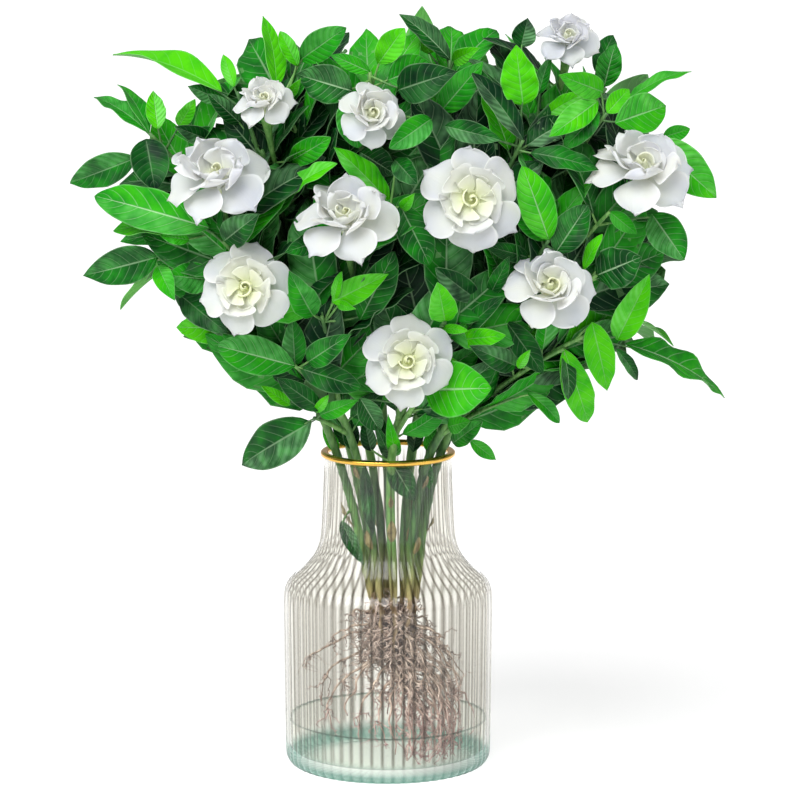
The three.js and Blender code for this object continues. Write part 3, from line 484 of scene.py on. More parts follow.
# A bloom that is seen is its cane, its pixel, its radius, how far it leans up and turns aside, and its
# spin. One on the back is its cane, bearing, height, reach from the axis and radius.
SEEN_BLOOMS = [
    ["b", 264, 103, 22, 48, -6, 20], ["e", 371, 115, 24, 24, 14, 0], ["a", 217, 180, 38, 50, -8, 10],
    ["e", 346, 222, 39, 50, -4, 38], ["f", 471, 200, 37, 10, 4, 0], ["h", 568, 41, 27, 50, 4, 52],
    ["i", 641, 172, 38, 50, 8, 18], ["g", 550, 289, 32, 34, 8, 30], ["a", 246, 288, 33.5, 12, -6, 12],
    ["d", 408, 361, 33.5, 12, 2, 4],
]
BACK_BLOOMS = [["k", 40, 365, 150, 36], ["k", 84, 432, 120, 34], ["j", 138, 335, 142, 37]]


def dome_depth(x, y):
    """Depth of the bush's front at a pixel: an oval dome round the vase's axis."""
    share = 1 - ((x - DOME_X) / DOME_WIDE) ** 2 - ((y - DOME_Y) / DOME_HIGH) ** 2
    return -DOME_DEEP * math.sqrt(max(0, share))


def seen_bloom(cane, x, y, radius, lean, turn, spin):
    """A bloom of the photograph: it faces the viewer, leaned up and turned to the side."""
    lean, turn = math.radians(lean), math.radians(turn)
    facing = np.array([math.cos(lean) * math.sin(turn), -math.cos(lean) * math.cos(turn), math.sin(lean)])
    middle = from_photo(x, y, dome_depth(x, y) - 4)
    return {"cane": cane, "middle": middle, "facing": facing, "radius": radius, "spin": spin}


def bearing_point(bearing, height, reach):
    """The point at a bearing seen from above, in degrees, a height and a reach from the vase's axis."""
    angle = math.radians(bearing)
    return np.array([math.cos(angle) * reach, math.sin(angle) * reach, height])


def back_bloom(n, cane, bearing, height, reach, radius):
    """A bloom on the unseen side: it faces outwards and up."""
    facing = unit(bearing_point(bearing, 0, 1) + [0, 0, 0.55])
    return {"cane": cane, "middle": bearing_point(bearing, height, reach), "facing": facing, "radius": radius,
            "spin": 17 * n}


def cup_point(bloom):
    """Where a bloom's tube ends, in the cup of its branch."""
    return bloom["middle"] - bloom["facing"] * (0.5 * bloom["radius"] + 0.3)


blooms = [seen_bloom(*values) for values in SEEN_BLOOMS]
blooms += [back_bloom(n, *values) for n, values in enumerate(BACK_BLOOMS)]

# Canes are smooth green shoots, brown where they stand in the vase. Each rises through the neck and divides
# into branches, one to every spray of leaves and one to every bloom, where it widens into the green cup
# that holds the bloom's tube.
CANE_RADIUS, BRANCH_RADIUS, TWIG_RADIUS, CUP_RADIUS = 3.3, 2.2, 1.3, 4.6
CANE_FOOT, CANE_BEND, LIP_HEIGHT = 121.0, 180, 238.0
FORKS = {"g": 0.38, "i": 0.34, "k": 0.38}
BOWED = {("j", 3): 6}
# A spray is its cane, its pixel, how far behind the bush's front it ends, and its leaves, read from the
# photograph: base x, base y, tip x, tip y and width in pixels, tone from dark old leaf 0 to young lime 1,
# and how pale the veins are.
SPRAYS = [
    ["b", 149, 133, 12, [149, 133, 94, 96, 18, 0.5, 0.5], [158, 129, 153, 91, 20, 0.95, 0.7],
     [136, 158, 70, 183, 32, 0.35, 0.4], [146, 139, 155, 190, 38, 0.12, 0.3]],
    ["a", 224, 241, 10, [209, 228, 93, 195, 42, 0.58, 1.0], [209, 228, 112, 229, 24, 0.85, 0.5],
     [224, 241, 257, 215, 30, 0.2, 0.6]],
    ["a", 205, 266, 26, [158, 257, 83, 276, 38, 0.25, 0.6], [211, 280, 166, 275, 32, 0.5, 0.5],
     [158, 266, 172, 297, 20, 0.7, 0.4], [180, 295, 227, 333, 28, 0.15, 0.3]],
    ["c", 295, 366, 10, [295, 366, 216, 345, 38, 0.5, 1.0], [295, 366, 292, 318, 24, 0.35, 0.4],
     [308, 362, 349, 335, 26, 0.35, 0.6], [295, 366, 361, 388, 28, 0.2, 0.5],
     [322, 410, 277, 378, 22, 0.2, 0.4]],
    ["c", 314, 418, 8, [314, 418, 238, 466, 45, 0.22, 0.5], [320, 415, 358, 400, 18, 0.6, 0.5]],
    ["c", 322, 316, 14, [332, 302, 388, 274, 26, 1.0, 0.4], [360, 320, 395, 252, 34, 0.25, 0.7],
     [313, 316, 290, 274, 28, 0.5, 0.5]],
    ["b", 262, 150, 38, [280, 202, 336, 163, 12, 0.95, 0.3], [289, 162, 330, 138, 24, 0.6, 0.6],
     [241, 124, 209, 94, 18, 0.2, 0.8], [212, 141, 176, 127, 18, 0.2, 0.4]],
    ["b", 237, 92, 8, [222, 92, 113, 50, 22, 1.0, 0.3], [234, 87, 223, 54, 14, 0.95, 0.3]],
    ["e", 276, 88, 24, [276, 88, 263, 16, 18, 0.95, 0.3], [298, 66, 280, 31, 16, 0.9, 0.3],
     [300, 60, 345, 28, 30, 0.5, 0.5]],
    ["e", 370, 72, 8, [378, 64, 404, 28, 26, 1.0, 0.4], [388, 80, 431, 63, 34, 0.5, 0.6],
     [370, 72, 330, 54, 16, 0.6, 0.8], [352, 91, 296, 74, 38, 0.2, 1.0], [398, 90, 456, 71, 38, 0.12, 0.5],
     [350, 97, 358, 148, 34, 0.5, 0.5], [431, 119, 390, 148, 26, 0.5, 0.5]],
    ["f", 450, 60, 30, [450, 60, 400, 13, 20, 0.2, 1.0], [429, 54, 428, 33, 20, 0.95, 0.3],
     [453, 61, 479, 48, 16, 0.95, 0.3], [440, 112, 483, 62, 30, 0.5, 0.5]],
    ["f", 523, 140, 12, [523, 105, 516, 45, 37, 1.0, 0.4], [523, 140, 472, 73, 24, 0.05, 0.4],
     [531, 153, 599, 169, 22, 0.25, 0.4], [445, 126, 501, 140, 22, 0.2, 0.4],
     [521, 47, 528, 18, 24, 0.1, 0.3]],
    ["h", 544, 117, 34, [539, 94, 551, 54, 14, 0.3, 0.4]],
    ["h", 607, 113, 8, [598, 101, 549, 137, 26, 0.9, 0.6], [607, 113, 629, 89, 20, 0.95, 0.4],
     [599, 112, 562, 150, 22, 0.35, 0.4], [615, 123, 667, 105, 40, 0.72, 0.7],
     [603, 92, 559, 75, 26, 0.85, 0.5]],
    ["h", 606, 88, 36, [604, 87, 615, 43, 26, 0.5, 0.9], [595, 71, 614, 34, 22, 0.15, 0.4],
     [629, 99, 691, 68, 12, 0.65, 0.4]],
    ["i", 655, 142, 14, [655, 142, 717, 198, 42, 0.8, 0.7]],
    ["i", 610, 212, 8, [652, 214, 684, 260, 36, 0.4, 0.8]],
    ["i", 549, 240, 12, [549, 240, 523, 166, 36, 0.82, 0.8], [549, 240, 512, 204, 24, 0.5, 0.5],
     [549, 240, 592, 178, 20, 0.7, 0.4], [556, 252, 588, 205, 34, 0.25, 0.7],
     [528, 257, 486, 246, 18, 0.2, 0.4]],
    ["i", 597, 275, 10, [597, 275, 641, 257, 42, 0.2, 1.0]],
    ["g", 588, 335, 8, [592, 322, 609, 394, 30, 0.95, 0.4], [617, 340, 650, 275, 30, 0.95, 0.4],
     [625, 344, 727, 396, 24, 0.5, 1.0]],
    ["g", 564, 349, 12, [564, 349, 590, 426, 30, 0.9, 0.4]],
    ["f", 500, 322, 26, [506, 321, 544, 374, 26, 0.15, 0.4], [462, 336, 502, 297, 18, 0.2, 0.4],
     [458, 340, 506, 335, 20, 0.9, 0.4], [480, 302, 437, 270, 24, 0.08, 0.3],
     [516, 366, 472, 347, 24, 0.2, 0.4]],
    ["d", 445, 321, 12, [445, 321, 438, 284, 28, 0.95, 0.4]],
    ["d", 425, 392, 6, [425, 390, 490, 388, 56, 0.75, 0.9], [360, 398, 380, 431, 24, 0.2, 0.8]],
    ["g", 480, 412, 20, [453, 443, 483, 421, 20, 0.4, 0.4], [448, 427, 470, 421, 18, 0.7, 0.4],
     [527, 392, 561, 423, 14, 0.6, 0.4], [470, 440, 497, 461, 14, 0.6, 0.4]],
    ["d", 398, 440, 30, [396, 456, 388, 419, 14, 0.75, 0.4]],
    ["e", 390, 204, 14, [390, 204, 334, 147, 26, 0.85, 0.5], [360, 152, 396, 175, 30, 0.2, 0.9],
     [395, 160, 417, 184, 22, 0.2, 0.4], [400, 205, 430, 265, 34, 0.25, 0.6],
     [322, 240, 286, 252, 22, 0.2, 0.4]],
]
# A spray on the back is its cane, bearing, height and reach from the axis.
BACK_SPRAYS = [
    ["k", 14, 330, 150], ["k", 30, 425, 160], ["k", 50, 300, 115], ["k", 62, 385, 140], ["k", 77, 462, 82],
    ["j", 92, 330, 125], ["j", 106, 415, 130], ["j", 124, 300, 115], ["j", 128, 462, 95],
    ["j", 150, 370, 150], ["h", 12, 395, 72], ["b", 166, 405, 70], ["e", 88, 452, 34],
]


def branch_controls(start, end, arrival, trial):
    """Control points of a branch. It leaves along the straight line and arrives along the bloom's facing,
    or from above at a spray. A trial above 0 bows it to one of six sides, a tenth of its length at a
    time."""
    reach = np.linalg.norm(end - start)
    chord = unit(end - start)
    side, above = square_pair(chord)
    bow = 0 if trial == 0 else reach * (0.1 + 0.1 * ((trial - 1) // 6))
    offset = bow * (math.cos(trial * math.pi / 3) * side + math.sin(trial * math.pi / 3) * above)
    if arrival is None:
        second = start + 0.7 * (end - start) + [0, 0, 0.06 * reach]
    else:
        second = end - 0.3 * reach * arrival
    return np.array([start, start + 0.3 * (end - start) + offset, second + offset, end])


sprays = [{"cane": cane, "end": from_photo(x, y, dome_depth(x, y) + under), "under": under, "leaves": leaves}
          for cane, x, y, under, *leaves in SPRAYS]
sprays += [{"cane": cane, "end": bearing_point(bearing, height, reach), "bearing": math.radians(bearing),
            "number": n} for n, (cane, bearing, height, reach) in enumerate(BACK_SPRAYS)]
stems = []
for name, (lip_x, lip_y) in CANES.items():
    own_blooms = [bloom for bloom in blooms if bloom["cane"] == name]
    own_sprays = [spray for spray in sprays if spray["cane"] == name]
    goal = np.mean([bloom["middle"] for bloom in own_blooms] + [spray["end"] for spray in own_sprays], 0)
    foot = np.array([CROWN_SHIFT + 0.5 * lip_x, 0.5 * lip_y, CANE_FOOT])
    lip = np.array([lip_x, lip_y, LIP_HEIGHT])
    rise = np.array([*(0.5 * (foot + lip))[:2], CANE_BEND])
    cane = np.array([foot, rise, lip, lip + FORKS.get(name, 0.42) * (goal - lip)])
    goals = [(cup_point(bloom), bloom["facing"], None) for bloom in own_blooms]
    goals += [(spray["end"], None, spray) for spray in own_sprays]
    goals.sort(key=lambda one: one[0][2])
    branches = []
    for n, (end, arrival, spray) in enumerate(goals):
        start = bent(cane[None], [0.74 + 0.23 * (n + 1) / len(goals)])[0, 0]
        branches.append(branch_controls(start, end, arrival, BOWED.get((name, n), 0)))
        if spray:
            spray["curve"] = branches[-1]
    arrivals = [arrival is not None for _, arrival, _ in goals]
    stems.append({"name": name, "cane": cane, "branches": branches, "arrivals": arrivals,
                  "sprays": own_sprays, "blooms": own_blooms})


def cane_wood(stem):
    """A cane and its branches as tubes: the cane draws in towards its foot and swells a little at its
    joints, and a branch to a bloom widens into the cup with a power of its share of the way. Height gives
    the brown."""
    s = np.linspace(0, 1, 60)
    path = bent(stem["cane"][None], s)
    swell = 0.14 * np.exp(-((s * 5 + 0.3 * len(stem["branches"])) % 1 - 0.5) ** 2 / 0.004)
    drawn_in = 0.72 + 0.28 * np.clip((path[0, :, 2] - path[0, 0, 2]) / 26, 0, 1)
    cane = tubes(path, CANE_RADIUS * (1 - 0.12 * s) * drawn_in + swell, 12)
    parts = [(*cane, np.clip((168 - cane[0][:, 2]) / 40, 0, 1))]
    s = np.linspace(0, 1, 28)
    for controls, to_bloom in zip(stem["branches"], stem["arrivals"]):
        radius = BRANCH_RADIUS + (TWIG_RADIUS - BRANCH_RADIUS) * s
        radius = radius + to_bloom * (CUP_RADIUS - TWIG_RADIUS) * s ** 9
        parts.append(valued(tubes(bent(controls[None], s), radius + 0.12 * np.cos(s * 40) ** 8, 9), 0))
    return parts


def finish_wood():
    """Smooth green bark with pale streaks, dark on old canes, turning ochre and brown towards the foot."""
    finish, tree, shader = start_finish("green_cane", Specular_IOR_Level=0.45)
    age = value_of(tree, "age")
    streak = mottle(tree, 420, 3.0, (1, 1, 0.12))
    young = ranged(tree, mottle(tree, 38, 0.0, (1, 1, 0.2)), 0.36, 0.62)
    grain = ranged(tree, streak, 0.35, 0.65)
    old_green = blended(tree, grain, (0.030, 0.115, 0.030, 1), (0.085, 0.215, 0.060, 1))
    young_green = blended(tree, grain, (0.090, 0.270, 0.050, 1), (0.22, 0.45, 0.12, 1))
    brown = blended(tree, grain, (0.15, 0.12, 0.045, 1), (0.36, 0.31, 0.14, 1))
    green = blended(tree, young, old_green, young_green)
    dress(tree, shader, blended(tree, age, green, brown), ranged(tree, streak, 0.3, 0.7, 0.36, 0.6),
          streak, 0.25, 0.0005)
    return finish


# Leaves are leathery and glossy, in pairs and threes at the twigs' ends: a short stalk, a pale sunken
# midrib and a blade folded up from it, with side veins that curve to the tip. The solids say which of a
# leaf's possible places it took, because its tip is a corner of its cane's solid there.
LEAF_ROWS, LEAF_COLUMNS = 22, 11
LEAF_SHADES = [(0.0, (0.003, 0.026, 0.009)), (0.22, (0.006, 0.090, 0.010)), (0.5, (0.012, 0.265, 0.008)),
               (0.75, (0.032, 0.400, 0.005)), (1.0, (0.075, 0.540, 0.003))]
SHORTEST_STALK, TIP_MATCH = 5, 0.05
SHIFTS = [(0, 0), (0, 9), (0, -9), (7, 16), (-7, -16), (14, 14), (-14, -14), (0, 26), (0, -26), (22, 22),
          (-22, -22), (12, 36), (32, 32), (-12, -36), (44, 44), (58, 58)]
BACK_LENGTH, BACK_WIDTH, BACK_LEAVES, BACK_TRIALS = 72, 30, 4, 12
INNER_LENGTH, INNER_WIDTH, INNER_SHARE, INNER_TRIALS = 78, 34, 0.6, 16
INNER_MIDDLE, INNER_HALF = (0, 0, 385), (215, 120, 145)
BUSH_PIXEL, BUSH_HALF_PIXEL = (402, 217), (290, 207)
BUSH_MIDDLE, BUSH_HALF = (8, 22, 392), (214, 158, 154)
BUSH_SLANT = 0.13
FILLING_GRID = (9, 5)
FILLING_TRIES, FILLING_SPACE, FILLING_DEPTH = 14, 15, 15
FILLING_ROUNDS = ((3, 1), (2, 0.85))
BLOOM_JOINTS, SPRAY_JOINTS = (0.3, 0.5, 0.7, 0.88), (0.35, 0.55, 0.75, 0.92)
CANE_JOINTS = (0.78, 0.81, 0.84, 0.87, 0.9, 0.93, 0.96, 0.99)
LINE_SHARES = np.array([[0.0], [0.3], [0.6], [1.0]])
GOLDEN_ANGLE = 2.4
CLEAR_OF_VASE = 246
PIXEL_SIZE = 0.717
SEPALS, SEPAL_WIDTH = 6, 3.6
# A husk is its cane, its share of the way up and its length. A small leaf is its cane and how far it lies
# behind the bush's front, and a leaf in the neck its cane and its depth. The seven values of a spray's leaf
# follow in both.
HUSKS = [("a", 0.30, 22), ("c", 0.22, 17), ("c", 0.55, 12), ("d", 0.26, 20), ("d", 0.42, 11),
         ("f", 0.24, 21), ("g", 0.20, 16), ("g", 0.50, 12), ("i", 0.28, 15), ("h", 0.36, 18),
         ("b", 0.34, 18), ("j", 0.25, 17), ("k", 0.32, 19)]
EXTRA_LEAVES = [
    ["b", 12, 149, 133, 119, 82, 16, 0.5, 0.4], ["b", 20, 224, 101, 188, 86, 18, 0.3, 0.4],
    ["b", 20, 179, 126, 195, 99, 16, 0.95, 0.3], ["h", 34, 544, 117, 588, 92, 16, 0.95, 0.3],
    ["i", 14, 663, 137, 690, 129, 16, 0.6, 0.4], ["i", 8, 610, 212, 637, 234, 16, 0.6, 0.4],
    ["i", 10, 584, 269, 602, 234, 12, 0.95, 0.3], ["g", 8, 616, 349, 638, 380, 12, 0.2, 0.4],
    ["g", 12, 564, 349, 569, 400, 14, 0.2, 0.9], ["f", 26, 489, 297, 509, 257, 16, 0.2, 0.4],
    ["d", 30, 391, 457, 378, 432, 14, 0.15, 0.4], ["c", 10, 290, 405, 262, 386, 12, 0.95, 0.3],
    ["c", 10, 316, 412, 328, 396, 10, 0.95, 0.3], ["b", 24, 290, 95, 300, 80, 10, 0.95, 0.3],
    ["g", 8, 518, 368, 530, 350, 10, 0.9, 0.3], ["e", 14, 402, 209, 414, 194, 12, 0.95, 0.3],
    ["a", 10, 189, 240, 160, 235, 14, 0.6, 0.4], ["d", 12, 441, 326, 468, 331, 10, 0.95, 0.3],
    ["c", 14, 334, 300, 341, 272, 10, 0.95, 0.3], ["c", 14, 338, 304, 356, 309, 10, 0.9, 0.3],
]
NECK_LEAVES = [["d", -31, 391, 461, 415, 501, 26, 0.15, 1.0], ["c", -25, 364, 464, 372, 536, 14, 0.12, 0.3],
               ["a", -17, 341, 521, 364, 566, 15, 0.14, 0.5], ["g", -18, 423, 459, 430, 489, 15, 0.45, 0.6],
               ["a", -14, 338, 453, 323, 424, 13, 0.80, 0.3], ["c", -26, 352, 450, 350, 417, 17, 0.12, 0.4],
               ["d", -30, 371, 451, 364, 419, 16, 0.06, 0.3], ["f", -16, 413, 452, 418, 419, 17, 0.08, 0.3],
               ["g", -24, 426, 450, 440, 424, 15, 0.62, 0.4], ["i", -6, 436, 452, 452, 430, 14, 0.30, 0.4],
               ["b", -10, 346, 446, 334, 410, 15, 0.35, 0.4], ["e", -20, 386, 448, 378, 414, 14, 0.10, 0.3]]


def turn_about(vector, axis, angle):
    """A vector turned about a unit axis, by the sum of its three parts along, across and square to it."""
    return (vector * math.cos(angle) + np.cross(axis, vector) * math.sin(angle)
            + axis * (axis @ vector) * (1 - math.cos(angle)))


def squared(up, along):
    """The part of a vector that is square to a unit one, at length one."""
    return unit(up - along * (up @ along))


def leaning(along, side, above, lean, turn):
    """A direction that leans away from another one by an angle, turned round it from its side."""
    return along * math.cos(lean) + math.sin(lean) * (side * math.cos(turn) + above * math.sin(turn))


def twig_frame(controls, share, step):
    """A branch's point at a share of the way, its direction there over a step each way, and two axes square
    to that."""
    root, before, after = (bent(controls[None], [at])[0, 0] for at in (share, share - step, share + step))
    along = unit(after - before)
    return (root, along, *square_pair(along))


def oval(points, middle, half):
    """The sum of the squares of a point's shares of an oval's half sizes: one on the oval's skin."""
    return ((points - np.array(middle)) / half) ** 2 @ np.ones(len(half))


def seen_leaf(base_x, base_y, tip_x, tip_y, wide, under, base_shift, tip_shift, n):
    """A leaf of the photograph: base and tip on their lines of sight, the tip brought forward or back until
    a narrow-looking leaf can have its real width, and the blade rolled to look as narrow as it does."""
    base = from_photo(base_x, base_y, dome_depth(base_x, base_y) + under + base_shift)
    length = np.linalg.norm(base - from_photo(tip_x, tip_y, base[1]))
    looks = wide * VIEW_DISTANCE / VIEW_FOCAL
    width = max(looks, 0.36 * length)
    hidden = min(math.sqrt(max(0, (width / 0.5) ** 2 - length ** 2)), 22) * (1 if n % 2 == 0 else -0.4)
    tip = from_photo(tip_x, tip_y, dome_depth(tip_x, tip_y) + tip_shift - hidden)
    along = unit(tip - base)
    viewer = unit(np.array([VIEW_X, -VIEW_DISTANCE, VIEW_HEIGHT]) - base)
    face = squared(viewer, along)
    turns = [turn_about(face, along, sign * math.acos(min(1, looks / width))) for sign in (1, -1)]
    return {"base": base, "tip": tip, "width": width, "up": max(turns, key=lambda up: up[2])}


def neck_leaf(depth, base_x, base_y, tip_x, tip_y, wide):
    """A leaf in the vase's neck or just above it, at one depth, with its face to the viewer."""
    base, tip = from_photo(base_x, base_y, depth), from_photo(tip_x, tip_y, depth)
    along = unit(tip - base)
    return {"base": base, "tip": tip, "width": wide * VIEW_DISTANCE / VIEW_FOCAL,
            "up": squared(np.array([0, -1, 0.1]), along)}


def back_leaf(end, bearing, k, n, trial):
    """A leaf on the unseen half: leaves stand round the twig by the golden angle, and a trial turns it
    on."""
    outward = unit(np.array([math.cos(bearing), math.sin(bearing), 0.35]))
    side = np.array([-math.sin(bearing), math.cos(bearing), 0])
    along = leaning(outward, side, -np.cross(outward, side), 0.9 + 0.25 * math.sin(3 * k + trial),
                    GOLDEN_ANGLE * (k + 1.7 * n) + 0.9 * trial)
    base = end + 9 * along
    return {"base": base, "tip": base + along * BACK_LENGTH * (1 + 0.14 * math.sin(5 * k + n)),
            "width": BACK_WIDTH, "up": squared(np.array([0, 0, 1]) + 0.7 * outward, along)}


def inner_leaves(controls, n):
    """Possible leaves on a branch inside the bush, each turned further round it. Those whose tips leave the
    bush's oval body don't count."""
    root, along, side, above = twig_frame(controls, INNER_SHARE, 1e-4)
    found = []
    for trial in range(INNER_TRIALS):
        lean = 0.75 + 0.2 * math.sin(n + trial)
        ahead = leaning(along, side, above, lean, GOLDEN_ANGLE * n + 0.8 * trial)
        tip = root + ahead * INNER_LENGTH * (1 - 0.02 * trial)
        if oval(tip, INNER_MIDDLE, INNER_HALF) < 1:
            found.append({"root": root, "base": root, "tip": tip, "width": INNER_WIDTH,
                          "up": squared(np.array([0, -0.5, 1]), ahead)})
    return found


def to_photo(points):
    """The pixels at which the photograph would show points, by their distance along the line of sight."""
    away = points - [VIEW_X, -VIEW_DISTANCE, VIEW_HEIGHT]
    along = away[..., 1] * math.cos(VIEW_PITCH) - away[..., 2] * math.sin(VIEW_PITCH)
    rise = away[..., 1] * math.sin(VIEW_PITCH) + away[..., 2] * math.cos(VIEW_PITCH)
    right, up = VIEW_FOCAL * away[..., 0] / along, VIEW_FOCAL * rise / along
    return np.stack([VIEW_MIDDLE + right, VIEW_MIDDLE - up], -1)


def in_the_bush(line):
    """Whether points along a leaf lie inside the bush's body, behind its domed front, clear of the vase and
    of every bloom: not within its radius, and not before its face."""
    pixels = to_photo(line)
    slanted = pixels - np.stack([BUSH_SLANT * (pixels[:, 1] - BUSH_PIXEL[1]), 0 * pixels[:, 1]], 1)
    if oval(slanted, BUSH_PIXEL, BUSH_HALF_PIXEL).max() > 1 or line[:, 2].min() < CLEAR_OF_VASE:
        return False
    dome = np.clip(1 - oval(pixels, (DOME_X, DOME_Y), (DOME_WIDE, DOME_HIGH)), 0, 1)
    front = -DOME_DEEP * np.sqrt(dome)
    if np.any(oval(line, BUSH_MIDDLE, BUSH_HALF) > 1):
        return False
    if np.any(line[:, 1] < front + FILLING_DEPTH):
        return False
    for bloom in blooms:
        away = line - bloom["middle"]
        before = away @ bloom["facing"]
        beside = np.linalg.norm(away - before[:, None] * bloom["facing"], axis=1)
        if np.any((beside < bloom["radius"] + 5) & (before > -0.35 * bloom["radius"])):
            return False
        disc = np.linalg.norm(pixels - to_photo(bloom["middle"]), axis=1) * PIXEL_SIZE < bloom["radius"] + 3
        if bloom["facing"][1] < 0 and np.any(disc & (line[:, 1] < bloom["middle"][1] + 12)):
            return False
    return True


def filling_leaf(controls, share, turn, lean, long):
    """A leaf from a joint of a branch: it leans out from the branch, turned round it, and looks up and
    out."""
    root, along, side, above = twig_frame(controls, share, 1e-3)
    ahead = leaning(along, side, above, lean, turn)
    up = squared(unit((root - BUSH_MIDDLE) / BUSH_HALF) + [0, 0, 0.6], ahead)
    base = root + 8 * ahead
    return {"root": root, "base": base, "tip": base + long * ahead, "width": 0.46 * long, "up": up}


def nearest_on_twig(controls, base, n):
    """The point in a twig's outer half that is nearest to a leaf's base."""
    points = bent(controls[None], np.array([0.5, 0.6, 0.7, 0.8, 0.9]) + 0.02 * (n % 5))[0]
    return points[np.argmin(np.linalg.norm(points - base, axis=1))]


def place_taken(corners, trials):
    """The possible place whose tip is a corner of the solid, or none where the leaf was left off."""
    for leaf in trials:
        if np.linalg.norm(corners - leaf["tip"], axis=1).min() < TIP_MATCH:
            return leaf
    return None


def blade_shell(sheet, thick, u, v):
    """A closed skin on both faces of a grid of points, half its thickness to each side, and its flat map:
    across by u from -1 to 1, and along by the share v. The ring of a row runs along the upper face and back
    along the lower one, and the two end rows are closed across."""
    rows, columns, _ = sheet.shape
    normal = unit(np.cross(np.gradient(sheet, axis=1), np.gradient(sheet, axis=0)) + 1e-9)
    upper, lower = sheet + normal * thick[..., None] / 2, sheet - normal * thick[..., None] / 2
    points = np.concatenate([upper, lower[:, ::-1]], 1).reshape(-1, 3)
    c = np.arange(columns - 1)
    last = (rows - 1) * 2 * columns
    mirror = 2 * columns - 1 - c
    start = np.stack([c, mirror, mirror - 1, c + 1], 1)
    end = np.stack([c, c + 1, mirror - 1, mirror], 1) + last
    flat = np.stack(np.broadcast_arrays(0.5 + 0.5 * u, v), -1)
    growth = np.concatenate([flat, flat[:, ::-1]], 1).reshape(-1, 2)
    return points, np.concatenate([grid_faces(rows, 2 * columns), start, end]), growth


def leaf_blade(leaf, n):
    """One leaf. Its half width at share v of the way is v to one power times 1 - v to another, scaled to
    the leaf's width. Points lift from the midrib by the fold and wave along the margin, the blade twists a
    little, and the tip bends down."""
    root, base, tip, up, width = (leaf[key] for key in ("root", "base", "tip", "up", "width"))
    rows, columns = leaf.get("grid", (LEAF_ROWS, LEAF_COLUMNS))
    own = np.random.default_rng(n)
    stalked = np.linalg.norm(root - base) > SHORTEST_STALK
    length = np.linalg.norm(tip - base)
    bend = 0.5 * (base + tip) + up * 0.1 * length
    controls = np.array([base if stalked else root, bend, tip])
    v = 1 - (1 - np.linspace(0, 1, rows)) ** 1.25
    rib = bent(controls[None], v)[0]
    ahead = unit(np.gradient(rib, axis=0))
    face = unit(up - ahead * (ahead @ up)[:, None])
    side = np.cross(ahead, face)
    twist = own.uniform(-0.35, 0.35) * v[:, None] ** 1.5
    face, side = face * np.cos(twist) + side * np.sin(twist), side * np.cos(twist) - face * np.sin(twist)
    bare = 0.0 if stalked else 0.07
    inner = np.clip((v - bare) / (1 - bare), 0, 1)
    form = inner ** own.uniform(0.62, 0.85) * (1 - inner) ** own.uniform(0.72, 1.05)
    half = np.maximum(0.5 * width * form / form.max(), 0.3)
    u = np.sin(np.linspace(-1, 1, columns) * math.pi / 2)
    reach = half[:, None] * u
    turn, waves = own.uniform(0, 6.3, 2), own.uniform(1.4, 3.4)
    swell = np.sin(math.pi * np.clip(v, 0, 1))[:, None] * u ** 2
    phase = 2 * math.pi * waves * v[:, None] + turn[0] + turn[1] * (u > 0)
    wave = own.uniform(0.035, 0.10) * width * np.sin(phase) * swell
    lift = own.uniform(0.10, 0.30) * np.abs(reach) ** 1.12 + wave
    droop = own.uniform(-0.07, 0.01) * length * v[:, None] ** 3
    sheet = rib[:, None] + side[:, None] * reach[..., None] + face[:, None] * (lift + droop)[..., None]
    thick = 0.75 - 0.35 * np.abs(u) * np.ones((rows, 1))
    points, quads, growth = blade_shell(sheet, thick, u, v[:, None])
    under = np.zeros((rows, 2 * columns))
    under[:, columns:] = 1
    values = [np.full(len(points), value) for value in (leaf["tone"], leaf["veins"], own.uniform())]
    return (points, [quads, np.zeros((0, 3), int)], growth, *values, under.reshape(-1))


def leaf_stalk(leaf):
    """A leaf's stalk: a thin tube from the twig to the blade's base, running in under the midrib."""
    root, base, tip, up = (leaf[key] for key in ("root", "base", "tip", "up"))
    length = np.linalg.norm(base - root)
    inward = base + 0.12 * (tip - base) + 0.01 * up
    middle = 0.5 * (root + base) - up * 0.06 * length
    s = np.linspace(0, 1, 8)
    return valued(tubes(bent(np.array([[root, middle, base, inward]]), s), 1.0 - 0.45 * s, 6), 0)


def dry_husk(stem, share, long):
    """What an old leaf left on its cane: a narrow brown blade that lies along the cane, on its outer
    side."""
    husk = filling_leaf(stem["cane"], share, 0, 0, long)
    root = husk["root"]
    out = unit(np.array([root[0], root[1] - 6, 0]))
    tip = root + 0.92 * (husk["tip"] - husk["base"]) + (CANE_RADIUS + 0.25 * long) * out
    husk.update(root=root + 2 * out, base=root + 2 * out, tip=tip, width=0.34 * long, up=out, tone=0, veins=0,
                grid=(9, 5))
    return valued(leaf_blade(husk, int(100 * share))[:2], 1)


